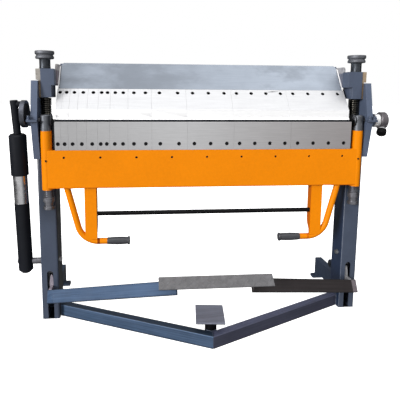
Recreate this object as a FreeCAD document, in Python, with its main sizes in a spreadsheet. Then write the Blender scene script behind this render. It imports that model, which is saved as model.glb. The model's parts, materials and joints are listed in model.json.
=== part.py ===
import FreeCAD, Part
import math
import os

os.makedirs("parts", exist_ok=True)
doc = FreeCAD.newDocument("sheet_metal_folder")
V = FreeCAD.Vector

# ---------------------------------------------------------------- dimensions
# millimetres; +X right, front is -Y, +Z up, floor at 0.
# "a" dimensions count outward from the end of the bending length.
DIMS = [
    ("origin_x", 16.8), ("origin_y", -63.0),
    ("bend_height", 890), ("bend_length", 1270), ("half_length", 635),
    # columns
    ("col_in", 11.5), ("col_out", 87.0), ("col_front", 31), ("col_back", 136),
    ("col_wall", 6), ("col_top", 878), ("col_radius", 8),
    ("slot_in", 35), ("slot_width", 26.5), ("slot_top", 224),
    ("seat_thick", 8),
    # bearing plates
    ("plate_in", 66), ("plate_thick", 26.5), ("plate_top", 1052), ("plate_bottom", 726.5),
    # floor frame
    ("floor_beam_tall", 54), ("foot_in", 43), ("foot_wide", 34), ("foot_back", 400),
    ("foot_beam_top", 105), ("foot_beam_bottom", 30),
    # clamping beam
    ("finger_skin", 20), ("beam_plate", 12), ("front_plate_thick", 4),
    ("knob_y", 60), ("rod_a", 45), ("rod_radius", 10), ("end_block_bottom", 983), ("end_block_top", 1101),
    ("head_radius", 39.6), ("stem_radius", 23.4), ("knob_top", 1175),
    ("spring_radius", 22.4), ("spring_bore", 17),
    # folding beam
    ("blade_front", -19.5), ("blade_rear", -1.5), ("apron_front", -22), ("apron_rear", -2),
    ("screw_hole_radius", 8), ("blade_bottom", 766), ("apron_bottom", 605),
    ("tube_radius", 22.5), ("eye_radius", 21.8), ("shaft_radius", 9), ("axis_a", 38),
    ("arm_outer", 520.5), ("arm_wide", 51), ("grip_z", 366.5), ("handle_tube_radius", 13.5),
    ("tie_rod_z", 490), ("tie_rod_radius", 9.5),
    # pedal
    ("pedal_shift", 8), ("pedal_tilt", 30), ("arm_tall", 56), ("arm_thick", 14),
    ("pivot_y", 200), ("pivot_z", 150), ("lever_in", 36), ("lever_thick", 12),
    ("tread_wide", 450), ("tread_thick", 5),
    # balance strut
    ("strut_a", 159.4), ("sleeve_radius", 36), ("inner_tube_radius", 29.8), ("outer_tube_radius", 30.9), ("strut_rod_radius", 15.6),
    ("crank_radius", 56.5),
    # angle stop
    ("ring_radius", 29.5), ("disc_radius", 37),
    # stop pad
    ("pad_wide", 117), ("pad_deep", 150), ("pad_thick", 8), ("pad_top", 107), ("post_radius", 24),
]
sheet = doc.addObject("Spreadsheet::Sheet", "Sheet")
for i, (name, value) in enumerate(DIMS):
    sheet.set("A%d" % (i + 1), name)
    sheet.set("B%d" % (i + 1), str(value))
    sheet.setAlias("B%d" % (i + 1), name)
doc.recompute()
VALUES = dict(DIMS)


class Q:
    """A size with its value and the sheet expression that drives it."""

    def __init__(self, v, e=None):
        self.v = float(v)
        self.e = e

    def _text(self):
        return self.e if self.e else ("(%r)" % self.v)

    def _op(self, other, sign, fn, swap=False):
        o = other if isinstance(other, Q) else Q(other)
        a, b = (o, self) if swap else (self, o)
        v = fn(a.v, b.v)
        if a.e is None and b.e is None:
            return Q(v)
        return Q(v, "(%s %s %s)" % (a._text(), sign, b._text()))

    def __add__(self, o):
        return self._op(o, "+", lambda p, q: p + q)

    __radd__ = __add__

    def __sub__(self, o):
        return self._op(o, "-", lambda p, q: p - q)

    def __rsub__(self, o):
        return self._op(o, "-", lambda p, q: p - q, True)

    def __mul__(self, o):
        return self._op(o, "*", lambda p, q: p * q)

    __rmul__ = __mul__

    def __truediv__(self, o):
        return self._op(o, "/", lambda p, q: p / q)

    def __neg__(self):
        return self * -1


def D(name):
    return Q(VALUES[name], "Sheet." + name)


def val(q):
    return q.v if isinstance(q, Q) else float(q)


def put(obj, prop, q):
    if "." not in prop:
        setattr(obj, prop, val(q))
    if isinstance(q, Q) and q.e:
        obj.setExpression(prop, q.e)


OX, OY, HB, HALF = D("origin_x"), D("origin_y"), D("bend_height"), D("half_length")
LEFT, RIGHT = -1, 1


def AX(side, a):
    """x of a point that lies a outward from the end of the bending length."""
    return (HALF + a) * side


def turn(xd, yd):
    xd, yd = V(*xd).normalize(), V(*yd).normalize()
    zd = xd.cross(yd)
    return FreeCAD.Rotation(FreeCAD.Matrix(xd.x, yd.x, zd.x, 0, xd.y, yd.y, zd.y, 0, xd.z, yd.z, zd.z, 0, 0, 0, 0, 1))


ALONG = {
    "X": FreeCAD.Rotation(V(0, 0, 1), V(1, 0, 0)),
    "-X": FreeCAD.Rotation(V(0, 0, 1), V(-1, 0, 0)),
    "Y": FreeCAD.Rotation(V(0, 0, 1), V(0, 1, 0)),
    "-Y": FreeCAD.Rotation(V(0, 0, 1), V(0, -1, 0)),
    "Z": FreeCAD.Rotation(),
    "-Z": FreeCAD.Rotation(V(0, 0, 1), V(0, 0, -1)),
}
YZ = turn((0, 1, 0), (0, 0, 1))   # sketch x -> Y, sketch y -> Z, normal +X
XZ = turn((1, 0, 0), (0, 0, 1))   # sketch x -> X, sketch y -> Z, normal -Y
XY = FreeCAD.Rotation()


def place(obj, x, y, z, rot=None):
    x, y = x + OX, y + OY
    z = z if isinstance(z, Q) else Q(z)
    obj.Placement = FreeCAD.Placement(V(val(x), val(y), val(z)), rot or FreeCAD.Rotation())
    obj.setExpression("Placement.Base.x", x.e)
    obj.setExpression("Placement.Base.y", y.e)
    if z.e:
        obj.setExpression("Placement.Base.z", z.e)
    return obj


COUNT = [0]


def uid(stem):
    COUNT[0] += 1
    return "%s_%03d" % (stem, COUNT[0])


def box(x0, x1, y0, y1, z0, z1):
    if val(x1) < val(x0):
        x0, x1 = x1, x0
    b = doc.addObject("Part::Box", uid("box"))
    put(b, "Length", x1 - x0 if isinstance(x1, Q) or isinstance(x0, Q) else Q(x1 - x0))
    put(b, "Width", y1 - y0 if isinstance(y1, Q) or isinstance(y0, Q) else Q(y1 - y0))
    put(b, "Height", z1 - z0 if isinstance(z1, Q) or isinstance(z0, Q) else Q(z1 - z0))
    return place(b, x0 if isinstance(x0, Q) else Q(x0), y0, z0)


def rbox(length, width, height, x, y, z, rot):
    b = doc.addObject("Part::Box", uid("rbox"))
    put(b, "Length", length)
    put(b, "Width", width)
    put(b, "Height", height)
    return place(b, x, y, z, rot)


def cyl(r, length, x, y, z, along="Z", angle=360):
    c = doc.addObject("Part::Cylinder", uid("cyl"))
    put(c, "Radius", r)
    put(c, "Height", length)
    rot = ALONG[along] if isinstance(along, str) else FreeCAD.Rotation(V(0, 0, 1), V(*along))
    c.Angle = angle
    return place(c, x, y, z, rot)


def cone(r1, r2, length, x, y, z, along="Z"):
    c = doc.addObject("Part::Cone", uid("cone"))
    put(c, "Radius1", r1)
    put(c, "Radius2", r2)
    put(c, "Height", length)
    rot = ALONG[along] if isinstance(along, str) else FreeCAD.Rotation(V(0, 0, 1), V(*along))
    return place(c, x, y, z, rot)


def torus(big, small, sweep, x, y, z, rot):
    t = doc.addObject("Part::Torus", uid("torus"))
    put(t, "Radius1", big)
    put(t, "Radius2", small)
    t.Angle3 = sweep
    return place(t, x, y, z, rot)


def prism(sides, circum, length, x, y, z, along="Z"):
    p = doc.addObject("Part::Prism", uid("prism"))
    p.Polygon = sides
    put(p, "Circumradius", circum)
    put(p, "Height", length)
    rot = ALONG[along] if isinstance(along, str) else FreeCAD.Rotation(V(0, 0, 1), V(*along))
    return place(p, x, y, z, rot)


def fuse(objs):
    if len(objs) == 1:
        return objs[0]
    f = doc.addObject("Part::MultiFuse", uid("fuse"))
    f.Shapes = objs
    f.Refine = True
    return f


def cut(base, tools):
    c = doc.addObject("Part::Cut", uid("cut"))
    c.Base = base
    c.Tool = tools if not isinstance(tools, (list, tuple)) else (group(tools) if len(tools) > 1 else tools[0])
    return c


def group(objs):
    g = doc.addObject("Part::Compound", uid("set"))
    g.Links = objs
    return g


def chamfer(base, size, pick):
    """Part::Chamfer on the edges whose centre the function picks."""
    doc.recompute()
    c = doc.addObject("Part::Chamfer", uid("chamfer"))
    c.Base = base
    edges = [(i + 1, size, size) for i, e in enumerate(base.Shape.Edges) if pick(e)]
    c.Edges = edges
    return c


def fillet(base, size, pick):
    doc.recompute()
    c = doc.addObject("Part::Fillet", uid("fillet"))
    c.Base = base
    c.Edges = [(i + 1, size, size) for i, e in enumerate(base.Shape.Edges) if pick(e)]
    return c


def circle_at(axis, value, tol=0.05):
    """Edges that are circles lying in the plane axis=value."""
    def test(e):
        if e.Curve.TypeId != "Part::GeomCircle":
            return False
        c = e.CenterOfMass
        return abs(getattr(c, axis) - value) < tol and abs(e.BoundBox.__getattribute__(axis.upper() + "Length")) < tol
    return test


def draw(sketch, loops):
    """Closed outlines of straight lines, every corner held by driven distances."""
    for pts in loops:
        n = len(pts)
        first = sketch.GeometryCount
        lines = []
        for i in range(n):
            p, q = pts[i], pts[(i + 1) % n]
            lines.append(Part.LineSegment(V(val(p[0]), val(p[1]), 0), V(val(q[0]), val(q[1]), 0)))
        sketch.addGeometry(lines, False)
        for i in range(n):
            sketch.addConstraint(Sketcher.Constraint("Coincident", first + i, 2, first + (i + 1) % n, 1))
        for i in range(n):
            for kind, q in (("DistanceX", pts[i][0]), ("DistanceY", pts[i][1])):
                k = sketch.addConstraint(Sketcher.Constraint(kind, -1, 1, first + i, 1, val(q)))
                if isinstance(q, Q) and q.e:
                    sketch.setExpression("Constraints[%d]" % k, q.e)


def circle(sketch, x, y, r):
    g = sketch.addGeometry(Part.Circle(V(val(x), val(y), 0), V(0, 0, 1), val(r)), False)
    for kind, q in (("DistanceX", x), ("DistanceY", y)):
        k = sketch.addConstraint(Sketcher.Constraint(kind, -1, 1, g, 3, val(q)))
        if isinstance(q, Q) and q.e:
            sketch.setExpression("Constraints[%d]" % k, q.e)
    k = sketch.addConstraint(Sketcher.Constraint("Radius", g, val(r)))
    if isinstance(r, Q) and r.e:
        sketch.setExpression("Constraints[%d]" % k, r.e)


import Sketcher


def body(x, y, z, plane="XY_Plane"):
    b = doc.addObject("PartDesign::Body", uid("body"))
    place(b, x, y, z)
    return b


def sketch_on(b, plane, offset=0.0):
    s = b.newObject("Sketcher::SketchObject", uid("sketch"))
    origin = [f for f in b.Origin.OriginFeatures if f.Role == plane][0]
    s.AttachmentSupport = [(origin, "")]
    s.MapMode = "FlatFace"
    if isinstance(offset, Q) or offset:
        s.AttachmentOffset = FreeCAD.Placement(V(0, 0, val(offset)), FreeCAD.Rotation())
        if isinstance(offset, Q) and offset.e:
            s.setExpression("AttachmentOffset.Base.z", offset.e)
    return s


def pad(b, sk, length, midplane=False):
    p = b.newObject("PartDesign::Pad", uid("pad"))
    p.Profile = sk
    put(p, "Length", length)
    if midplane:
        p.SideType = "Symmetric"
    return p


def pocket(b, sk, length, reverse=False, midplane=False):
    before = b.Shape.Volume
    p = b.newObject("PartDesign::Pocket", uid("pocket"))
    p.Profile = sk
    put(p, "Length", length)
    p.Reversed = reverse
    if midplane:
        p.SideType = "Symmetric"
    doc.recompute()
    if b.Shape.Volume > before - 1.0:
        raise RuntimeError("a pocket cut nothing: " + p.Name)
    return p


def bar_x(loops, half, x=0.0, y=0.0, z=0.0):
    """A section in the YZ plane run symmetrically along X."""
    b = body(Q(x) if not isinstance(x, Q) else x, y, z)
    s = sketch_on(b, "YZ_Plane")
    draw(s, loops)
    pad(b, s, half * 2, midplane=True)
    return b


NODES = []


def node(obj, name):
    NODES.append((obj, name))
    return obj


# ------------------------------------------------------------------ columns
def column(side, name):
    """Hollow column, notched at the head, slotted for the pedal lever."""
    wide = D("col_out") - D("col_in")
    deep = D("col_back") - D("col_front")
    b = body(AX(side, (D("col_in") + D("col_out")) / 2), (D("col_front") + D("col_back")) / 2, 0)
    w, d, t = wide / 2, deep / 2, D("col_wall")
    s = sketch_on(b, "XY_Plane")
    draw(s, [[(-w, -d), (w, -d), (w, d), (-w, d)],
             [(t - w, t - d), (w - t, t - d), (w - t, d - t), (t - w, d - t)]])
    shaft = pad(b, s, D("col_top"))
    doc.recompute()
    f = b.newObject("PartDesign::Fillet", uid("fillet"))
    edges = ["Edge%d" % (i + 1) for i, e in enumerate(shaft.Shape.Edges)
             if e.BoundBox.ZLength > 800 and abs(abs(e.CenterOfMass.x) - val(w)) < 0.01]
    f.Base = (shaft, edges)
    put(f, "Radius", D("col_radius"))
    doc.recompute()
    # slot for the lever, through front and back walls
    mid = (D("slot_in") + D("slot_width") / 2 - (D("col_in") + D("col_out")) / 2) * side
    h = D("slot_width") / 2
    s = sketch_on(b, "XZ_Plane")
    # rounded head of the front slot
    top = D("slot_top")
    n = 8
    pts = [(mid - h, Q(-5)), (mid + h, Q(-5))]
    for i in range(n + 1):
        ang = math.pi * i / n
        pts.append((mid + h * math.cos(ang), top - h + h * math.sin(ang)))
    draw(s, [pts])
    pocket(b, s, deep * 2, midplane=True)
    # notch at the head, where the bearing plate sits in the outer wall
    s = sketch_on(b, "XZ_Plane")
    x0 = (D("plate_in") - (D("col_in") + D("col_out")) / 2) * side
    x1 = w * 1.5 * side
    lo, hi = (x0, x1) if side > 0 else (x1, x0)
    draw(s, [[(lo, D("plate_bottom")), (hi, D("plate_bottom")), (hi, D("col_top") + 10), (lo, D("col_top") + 10)]])
    pocket(b, s, deep * 2, midplane=True)
    closed = box(AX(side, D("slot_in") - 1), AX(side, D("slot_in") + D("slot_width") + 1), D("col_back") - D("col_wall"), D("col_back"), 0, 96)
    # the rear opening is only as wide and as high as the lever needs
    cheek = box(AX(side, 49.2), AX(side, D("slot_in") + D("slot_width") + 1), D("col_back") - D("col_wall"), D("col_back"), 95, 226)
    over = box(AX(side, D("slot_in") - 1), AX(side, 50), D("col_back") - D("col_wall"), D("col_back"), 207, 226)
    base = box(AX(side, D("col_in") + 1), AX(side, D("col_out") - 1), D("col_front") + 1, D("col_back") - 1, 0, 4)
    return node(fuse([b, closed, cheek, over, base]), name)


column(LEFT, "column_left")
column(RIGHT, "column_right")


def bearing_plate(side, name):
    """Thick side plate welded into the head of the column; carries the folding axis."""
    b = body(AX(side, D("plate_in") + D("plate_thick") / 2), 0.0, HB)
    s = sketch_on(b, "YZ_Plane")
    up, dn = D("plate_top") - HB, D("plate_bottom") - HB
    draw(s, [[(3, dn), (-26.5, -14), (-26, 15), (8, up), (160, up), (160, 6), (D("col_back"), -24), (D("col_back"), dn)]])
    circle(s, 0, 0, D("shaft_radius") + 0.05)
    pad(b, s, D("plate_thick"), midplane=True)
    # scalloped relief on the inner face for the spring
    relief = cyl(D("spring_radius") + 0.6, 170, AX(side, D("rod_a")), D("knob_y"), D("col_top") + D("seat_thick") - 1)
    return node(cut(b, relief), name)


bearing_plate(LEFT, "bearing_plate_left")
bearing_plate(RIGHT, "bearing_plate_right")

# spring seats close the column heads
seats = []
for side in (LEFT, RIGHT):
    p = box(AX(side, D("col_in")), AX(side, 65.7), D("col_front") + 5, D("col_back"), D("col_top"), D("col_top") + D("seat_thick"))
    seats.append(cut(p, cyl(12.5, 20, AX(side, D("rod_a")), D("knob_y"), D("col_top") - 5)))
node(group(seats), "spring_seats")

# bed beam with its end flanges
bed = bar_x([[(1.5, 0), (100, 0), (100, -240), (1.5, -240)],
             [(14, -28), (88, -28), (88, -228), (14, -228)]], HALF, 0, 0, HB)
flanges = [box(AX(s, 0), AX(s, D("col_in") - 0.3), 4, 100, HB - 236, HB - 16) for s in (LEFT, RIGHT)]
node(fuse([bed] + flanges), "bed_beam")


def floor_beam(side, name):
    b = body(Q(0), 0.0, 0)
    s = sketch_on(b, "XY_Plane")
    x = AX(side, D("col_in"))
    pts = [(x, 56.6), (0.15 * side, -262), (0.15 * side, -221.9), (x, 96.7)]
    draw(s, [pts])
    pad(b, s, D("floor_beam_tall"))
    return node(b, name)


floor_beam(LEFT, "floor_beam_left")
floor_beam(RIGHT, "floor_beam_right")


def rear_foot(side, name):
    a0, a1 = D("foot_in"), D("foot_in") + D("foot_wide")
    beam = box(AX(side, a0), AX(side, a1), D("col_back"), D("foot_back"), D("foot_beam_bottom"), D("foot_beam_top"))
    post = box(AX(side, a0), AX(side, a1), D("foot_back") - 30, D("foot_back"), 12, D("foot_beam_bottom") + 1)
    plate = box(AX(side, 20), AX(side, 86), D("foot_back") - 36, D("foot_back") + 2, 0, 14)
    return node(fuse([beam, post, plate]), name)


rear_foot(LEFT, "rear_foot_left")
rear_foot(RIGHT, "rear_foot_right")

# pedal pivot: one lug and one pin on each rear foot
lugs, pins = [], []
for side in (LEFT, RIGHT):
    plate = box(AX(side, 53), AX(side, 63), D("pivot_y") - 20, D("pivot_y") + 20, D("foot_beam_top"), D("pivot_z"))
    eye = cyl(20, 10, AX(side, 53), D("pivot_y"), D("pivot_z"), "X" if side > 0 else "-X")
    lugs.append(cut(fuse([plate, eye]), cyl(8.3, 30, AX(side, 45), D("pivot_y"), D("pivot_z"), "X" if side > 0 else "-X")))
    out = "X" if side > 0 else "-X"
    shank = cyl(8, 34, AX(side, 34), D("pivot_y"), D("pivot_z"), out)
    head = cyl(13, 4, AX(side, 31), D("pivot_y"), D("pivot_z"), out)
    nut = prism(6, 13, 8, AX(side, 63.3), D("pivot_y"), D("pivot_z"), out)
    pins.append(fuse([shank, head, nut]))
node(group(lugs), "pedal_pivot_lugs")
node(group(pins), "pedal_pivot_pins")

# stop pad on its round post, in the inner corner of the floor frame
node(cyl(D("post_radius"), D("pad_top") - D("pad_thick"), Q(-1), -193.2, 0), "stop_post")
ang = math.radians(-6.0)
padrot = FreeCAD.Rotation(V(0, 0, 1), -6.0)
px = -3 - (val(D("pad_wide")) / 2) * math.cos(ang) + 75 * math.sin(ang)
py = -177 - (val(D("pad_wide")) / 2) * math.sin(ang) - 75 * math.cos(ang)
node(rbox(D("pad_wide"), D("pad_deep"), D("pad_thick"), Q(px), py, D("pad_top") - D("pad_thick"), padrot), "stop_pad")

# bolt heads on the inner faces of the columns
bolts = []
for side in (LEFT, RIGHT):
    inward = "-X" if side > 0 else "X"
    washer = cyl(12.5, 2, AX(side, D("col_in")), 72, 261, inward)
    head = prism(6, 10.5, 8, AX(side, D("col_in") - 2), 72, 261, inward)
    bolts.append(fuse([washer, head]))
node(group(bolts), "column_bolts")

# stub pin for the balance strut
STRUT_BOTTOM = (66.0, 260.0)
stub = cyl(14, 41, AX(LEFT, D("col_out")), STRUT_BOTTOM[0], STRUT_BOTTOM[1], "-X")
neck = cyl(8, 66, AX(LEFT, 127), STRUT_BOTTOM[0], STRUT_BOTTOM[1], "-X")
node(fuse([stub, neck]), "strut_stub_pin")

# split bearing saddles outside the plates: half hub below, bolted cap above
for side, name in ((LEFT, "bearing_saddle_left"), (RIGHT, "bearing_saddle_right")):
    out = "X" if side > 0 else "-X"
    a0 = D("plate_in") + D("plate_thick")
    half = cut(cyl(25, 13.6, AX(side, a0), 0, HB, out), box(AX(side, 90), AX(side, 110), -40, 40, HB - 1.2, HB + 40))
    cap = cut(cyl(19, 13.6, AX(side, a0), 0, HB, out), box(AX(side, 90), AX(side, 110), -40, 40, HB - 40, HB - 1.2))
    ledge = box(AX(side, 64), AX(side, a0 + 13.6), -44, -26.6, HB - 5, HB + 3.5)
    joint = box(AX(side, a0), AX(side, a0 + 13.6), -30, 0, HB - 5, HB + 3.5)
    studs = []
    for a in ((99,) if side < 0 else (75, 97)):
        studs.append(cyl(7.6 if side < 0 else 8.8, 2.2, AX(side, a), -35.5, HB + 3.5))
        studs.append(prism(6, 7.4 if side < 0 else 8.4, 8.5, AX(side, a), -35.5, HB + 5.7))
        studs.append(cyl(5, 6.5, AX(side, a), -35.5, HB + 14.2))
    node(cut(fuse([half, cap, ledge, joint] + studs), cyl(D("shaft_radius") + 0.05, 60, AX(side, 80), 0, HB, out)), name)

# ------------------------------------------------------------------ springs
for side, name in ((LEFT, "spring_left"), (RIGHT, "spring_right")):
    outer = cyl(D("spring_radius"), D("end_block_bottom") - D("col_top") - D("seat_thick") - 0.8, AX(side, D("rod_a")), D("knob_y"), D("col_top") + D("seat_thick") + 0.4)
    inner = cyl(D("spring_bore"), 150, AX(side, D("rod_a")), D("knob_y"), D("col_top") - 10)
    node(cut(outer, inner), name)

# ---------------------------------------------------------- clamping beam
SECTION = [(64.5, 20), (64.5, 40.2), (46.5, 58.4), (95.6, 116.9), (88.0, 133.0), (165, 240), (181, 240), (181, 20)]
beam = bar_x([SECTION, [(78, 34), (78, 47), (66, 60.5), (112, 115), (104.5, 133), (168, 221), (169, 221), (169, 34)]], HALF, 0, 0, HB)
lids = [bar_x([SECTION], Q(3), AX(s, -3), 0, HB) for s in (LEFT, RIGHT)]
node(fuse([beam] + lids), "clamp_beam")

SLOPE = [(80.2, 130.3), (160.2, 243.4), (163.5, 241.1), (83.5, 128.0)]
front = bar_x([SLOPE], HALF - 7.6, 0, 0, HB)
strips = [bar_x([SLOPE], Q(2.6), AX(s, -3.0), 0, HB) for s in (LEFT, RIGHT)]
corner = []
for side in (LEFT, RIGHT):
    sk = doc.addObject("Sketcher::SketchObject", uid("profile"))
    sk.Placement = FreeCAD.Placement(V(0, 0, 0), XZ)
    draw(sk, [[(side * (635 - 17.5), 244), (side * (635 + 3.0), 244), (side * (635 + 3.0), 221.8)]])
    ex = doc.addObject("Part::Extrusion", uid("corner"))
    ex.Base = sk
    ex.DirMode = "Custom"
    ex.Dir = V(0, 1, 0)
    ex.LengthFwd = 140
    ex.Solid = True
    corner.append(place(ex, Q(0), 60, HB))
node(cut(group([front] + strips), corner), "clamp_front_plate")

plates = []
for side in (LEFT, RIGHT):
    b = body(AX(side, 4.4), 0.0, HB)
    s = sketch_on(b, "YZ_Plane")
    draw(s, [[(84.2, 152), (88, 147), (178, 147), (178, 234.5), (98, 234.5), (90, 232), (85.5, 226), (84.2, 218)]])
    pad(b, s, 8, midplane=True)
    plates.append(b)
node(group(plates), "clamp_end_plates")


def end_block(side, name):
    main = box(AX(side, 14), AX(side, 56.7), 18, 112, D("end_block_bottom"), D("end_block_top"))
    arm = fuse([box(AX(side, 8.8), AX(side, 15), 18, 150, HB + 143, D("end_block_top")), box(AX(side, 2 if side < 0 else -4), AX(side, 15), 18, 60 if side < 0 else 83.6, HB + 143, D("end_block_top"))])
    wing = box(AX(side, 8.8), AX(side, 50), 100, 150, HB + 143, D("end_block_top"))
    block = fuse([main, arm, wing])
    block = cut(block, cyl(D("rod_radius") + 0.3, 200, AX(side, D("rod_a")), D("knob_y"), D("end_block_bottom") - 20))
    return node(block, name)


end_block(LEFT, "end_block_left")
end_block(RIGHT, "end_block_right")

for side, name in ((LEFT, "guide_shoe_left"), (RIGHT, "guide_shoe_right")):
    strip = box(AX(side, 57), AX(side, 65.6), 22, 108, D("end_block_bottom"), D("end_block_top"))
    shoulder = box(AX(side, 57), AX(side, 76.5), 22, 108, HB + 165.5, D("end_block_top"))
    node(fuse([strip, shoulder]), name)

rods = []
for side in (LEFT, RIGHT):
    out = "X" if side > 0 else "-X"
    rod = cyl(D("rod_radius"), D("knob_top") - 6 - 227, AX(side, D("rod_a")), D("knob_y"), 227)
    bridge = box(AX(side, 31.5), AX(side, 59.0), 50, 70, 208, 228)
    cheek1 = box(AX(side, 31.5), AX(side, 35.4), 50, 70, 118, 210)
    cheek2 = box(AX(side, 54.8), AX(side, 58.8), 50, 70, 118, 210)
    pin = cyl(5.5, 28.4, AX(side, 31), D("knob_y"), 131, out)
    rods.append(fuse([rod, bridge, cheek1, cheek2, pin]))
node(group(rods), "pull_rods")

# adjusting knobs: round stem, head with a deep V groove in its rim
for side, name in ((LEFT, "knob_left"), (RIGHT, "knob_right")):
    kx_, top = AX(side, D("rod_a")), D("end_block_top")
    stem = cyl(D("stem_radius"), 39.5, kx_, D("knob_y"), top + 1.5)
    under = cone(26, D("head_radius") - 1.4, 2.6, kx_, D("knob_y"), top + 40.5)
    low_rim = cyl(D("head_radius") - 1.4, 7.9, kx_, D("knob_y"), top + 43.1)
    in_cone = cone(D("head_radius") - 1.4, D("head_radius") - 5.6, 5, kx_, D("knob_y"), top + 51)
    out_cone = cone(D("head_radius") - 5.6, D("head_radius"), 5, kx_, D("knob_y"), top + 56)
    top_rim = cyl(D("head_radius"), 11, kx_, D("knob_y"), top + 61)
    crown = cone(D("head_radius"), D("head_radius") - 2, 2, kx_, D("knob_y"), top + 72)
    solid = fuse([stem, under, low_rim, in_cone, out_cone, top_rim, crown])
    bore = cyl(D("rod_radius") + 0.05, D("knob_top") - top + 10, kx_, D("knob_y"), top - 5)
    node(cut(solid, bore), name)

# ------------------------------------------------------------- segments
WIDTHS = [25, 30, 35, 40, 45, 50, 75, 100, 150, 200, 250, 270]
HOLES = [(1, 0), (1, 0), (1, 0), (1, 0), (1, 0), (2, 25), (2, 34), (2, 50), (2, 79), (3, 69.8), (4, 66.4), (4, 69.2)]
hole_x, starts = [], []
x = -635.0
for w, (n, pitch) in zip(WIDTHS, HOLES):
    starts.append(x)
    for k in range(n):
        hole_x.append(x + w / 2.0 + (k - (n - 1) / 2.0) * pitch)
    x += w
GAP = 0.35


def profile(pts):
    s = doc.addObject("Sketcher::SketchObject", uid("profile"))
    s.Placement = FreeCAD.Placement(V(0, 0, 0), YZ)
    draw(s, [pts])
    return s


def segments(pts, z):
    s = profile(pts)
    out = []
    for x0, w in zip(starts, WIDTHS):
        e = doc.addObject("Part::Extrusion", uid("segment"))
        e.Base = s
        e.DirMode = "Custom"
        e.Dir = V(1, 0, 0)
        e.LengthFwd = w - GAP
        e.Solid = True
        place(e, Q(x0 + GAP / 2), 0.0, z)
        out.append(e)
    return group(out)


FDIR = (0, 0.643, 0.766)          # along the upper facet of a finger
FN = (0, 0.766, -0.643)           # into the facet
fingers = segments([(0.5, 2.3), (9.5, 12), (9, 43), (80, 130), (95.3, 117.1), (46.0, 58.4), (64, 40), (64, 2.3)], HB)
# screw holes, square to the facet, at z = 114.5 above the bend line
fy = 9 + (114.5 - 43) * (71.0 / 87.0)
holes = [cyl(D("screw_hole_radius"), 40, Q(hx), fy - 10 * 0.766, HB + 114.5 + 10 * 0.643, FN) for hx in hole_x]
node(cut(fingers, holes), "upper_fingers")
screws = []
for hx in hole_x:
    head = cyl(D("screw_hole_radius") - 0.3, 9, Q(hx), fy + 8 * 0.766, HB + 114.5 - 8 * 0.643, FN)
    hexa = prism(6, 4.6, 8, Q(hx), fy + 4 * 0.766, HB + 114.5 - 4 * 0.643, FN)
    screws.append(cut(head, hexa))
node(group(screws), "finger_screws")

blades = segments([(-16, -3.2), (-1.5, -3.2), (-1.5, -40.6), (-9.9, -40.6), (-9.9, -123.8), (-19.5, -123.8), (-19.5, -6.7)], HB)
holes = [cyl(D("screw_hole_radius"), 40, Q(hx), -30, HB - 98, "Y") for hx in hole_x]
# the outer top corner of the first blade is rounded
xf, zt, r = -(635 - GAP / 2), -3.2, 8.0
pts = [(xf - 2, zt - r), (xf, zt - r)]
for k in range(1, 6):
    t = math.radians(15.0 * k)
    pts.append((xf + r * (1 - math.cos(t)), zt - r * (1 - math.sin(t))))
pts += [(xf + r, zt), (xf + r, zt + 2), (xf - 2, zt + 2)]
s = doc.addObject("Sketcher::SketchObject", uid("profile"))
s.Placement = FreeCAD.Placement(V(0, 0, 0), XZ)
draw(s, [pts])
corner_cut = doc.addObject("Part::Extrusion", uid("corner"))
corner_cut.Base = s
corner_cut.DirMode = "Custom"
corner_cut.Dir = V(0, 1, 0)
corner_cut.LengthFwd = 60
corner_cut.Solid = True
place(corner_cut, Q(0), -40, HB)
node(cut(blades, holes + [corner_cut]), "lower_blades")
screws = []
for hx in hole_x:
    head = cyl(D("screw_hole_radius") - 0.3, 4.4, Q(hx), -14.5, HB - 98, "Y")
    hexa = prism(6, 4.6, 3.6, Q(hx), -15.6, HB - 98, "Y")
    screws.append(cut(head, hexa))
node(group(screws), "blade_screws")

# ---------------------------------------------------------- folding beam
AXA = D("axis_a")
lower = bar_x([[(-22, -285), (-2, -285), (-2, -41), (-9.5, -41), (-9.5, -124.2), (-22, -124.2)]], HALF, 0, 0, HB)
wings = [box(AX(s, -1), AX(s, AXA), -22, -6, HB - 285, HB - 124.2) for s in (LEFT, RIGHT)]
clear = [cyl(D("tube_radius") + 0.25, 400, AX(s, AXA), 0, HB - 350) for s in (LEFT, RIGHT)]
sides = [box(AX(s, AXA - 5), AX(s, AXA + 30), -40, 20, HB - 300, HB - 100) for s in (LEFT, RIGHT)]
jack_x = [-600.0 + 150.0 * k for k in range(9)]
jack_holes = [cyl(5, 21.6, Q(jx), -30, HB - 155, "Y") for jx in jack_x]
node(cut(fuse([lower] + wings), clear + sides + jack_holes), "folding_apron")

for side, name in ((LEFT, "end_tube_left"), (RIGHT, "end_tube_right")):
    outer = cyl(D("tube_radius"), 248.6, AX(side, AXA), 0, HB - 293)
    inner = cyl(16.3, 260, AX(side, AXA), 0, HB - 297)
    side_hole = cyl(4.3, 20, AX(side, AXA), -30, HB - 168, "Y")
    node(cut(outer, [inner, side_hole]), name)

eyes = []
for side in (LEFT, RIGHT):
    out = "X" if side > 0 else "-X"
    block = cyl(D("eye_radius"), 66.6, AX(side, AXA), 0, HB - 44)
    block = chamfer(block, 3.5, lambda e: e.Curve.TypeId == "Part::GeomCircle" and e.CenterOfMass.z > 900)
    shank = cyl(16, 225, AX(side, AXA), 0, HB - 44 - 225)
    eyes.append(cut(fuse([block, shank]), cyl(D("shaft_radius") + 0.3, 60, AX(side, 10), 0, HB, out)))
node(group(eyes), "eye_rods")

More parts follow.
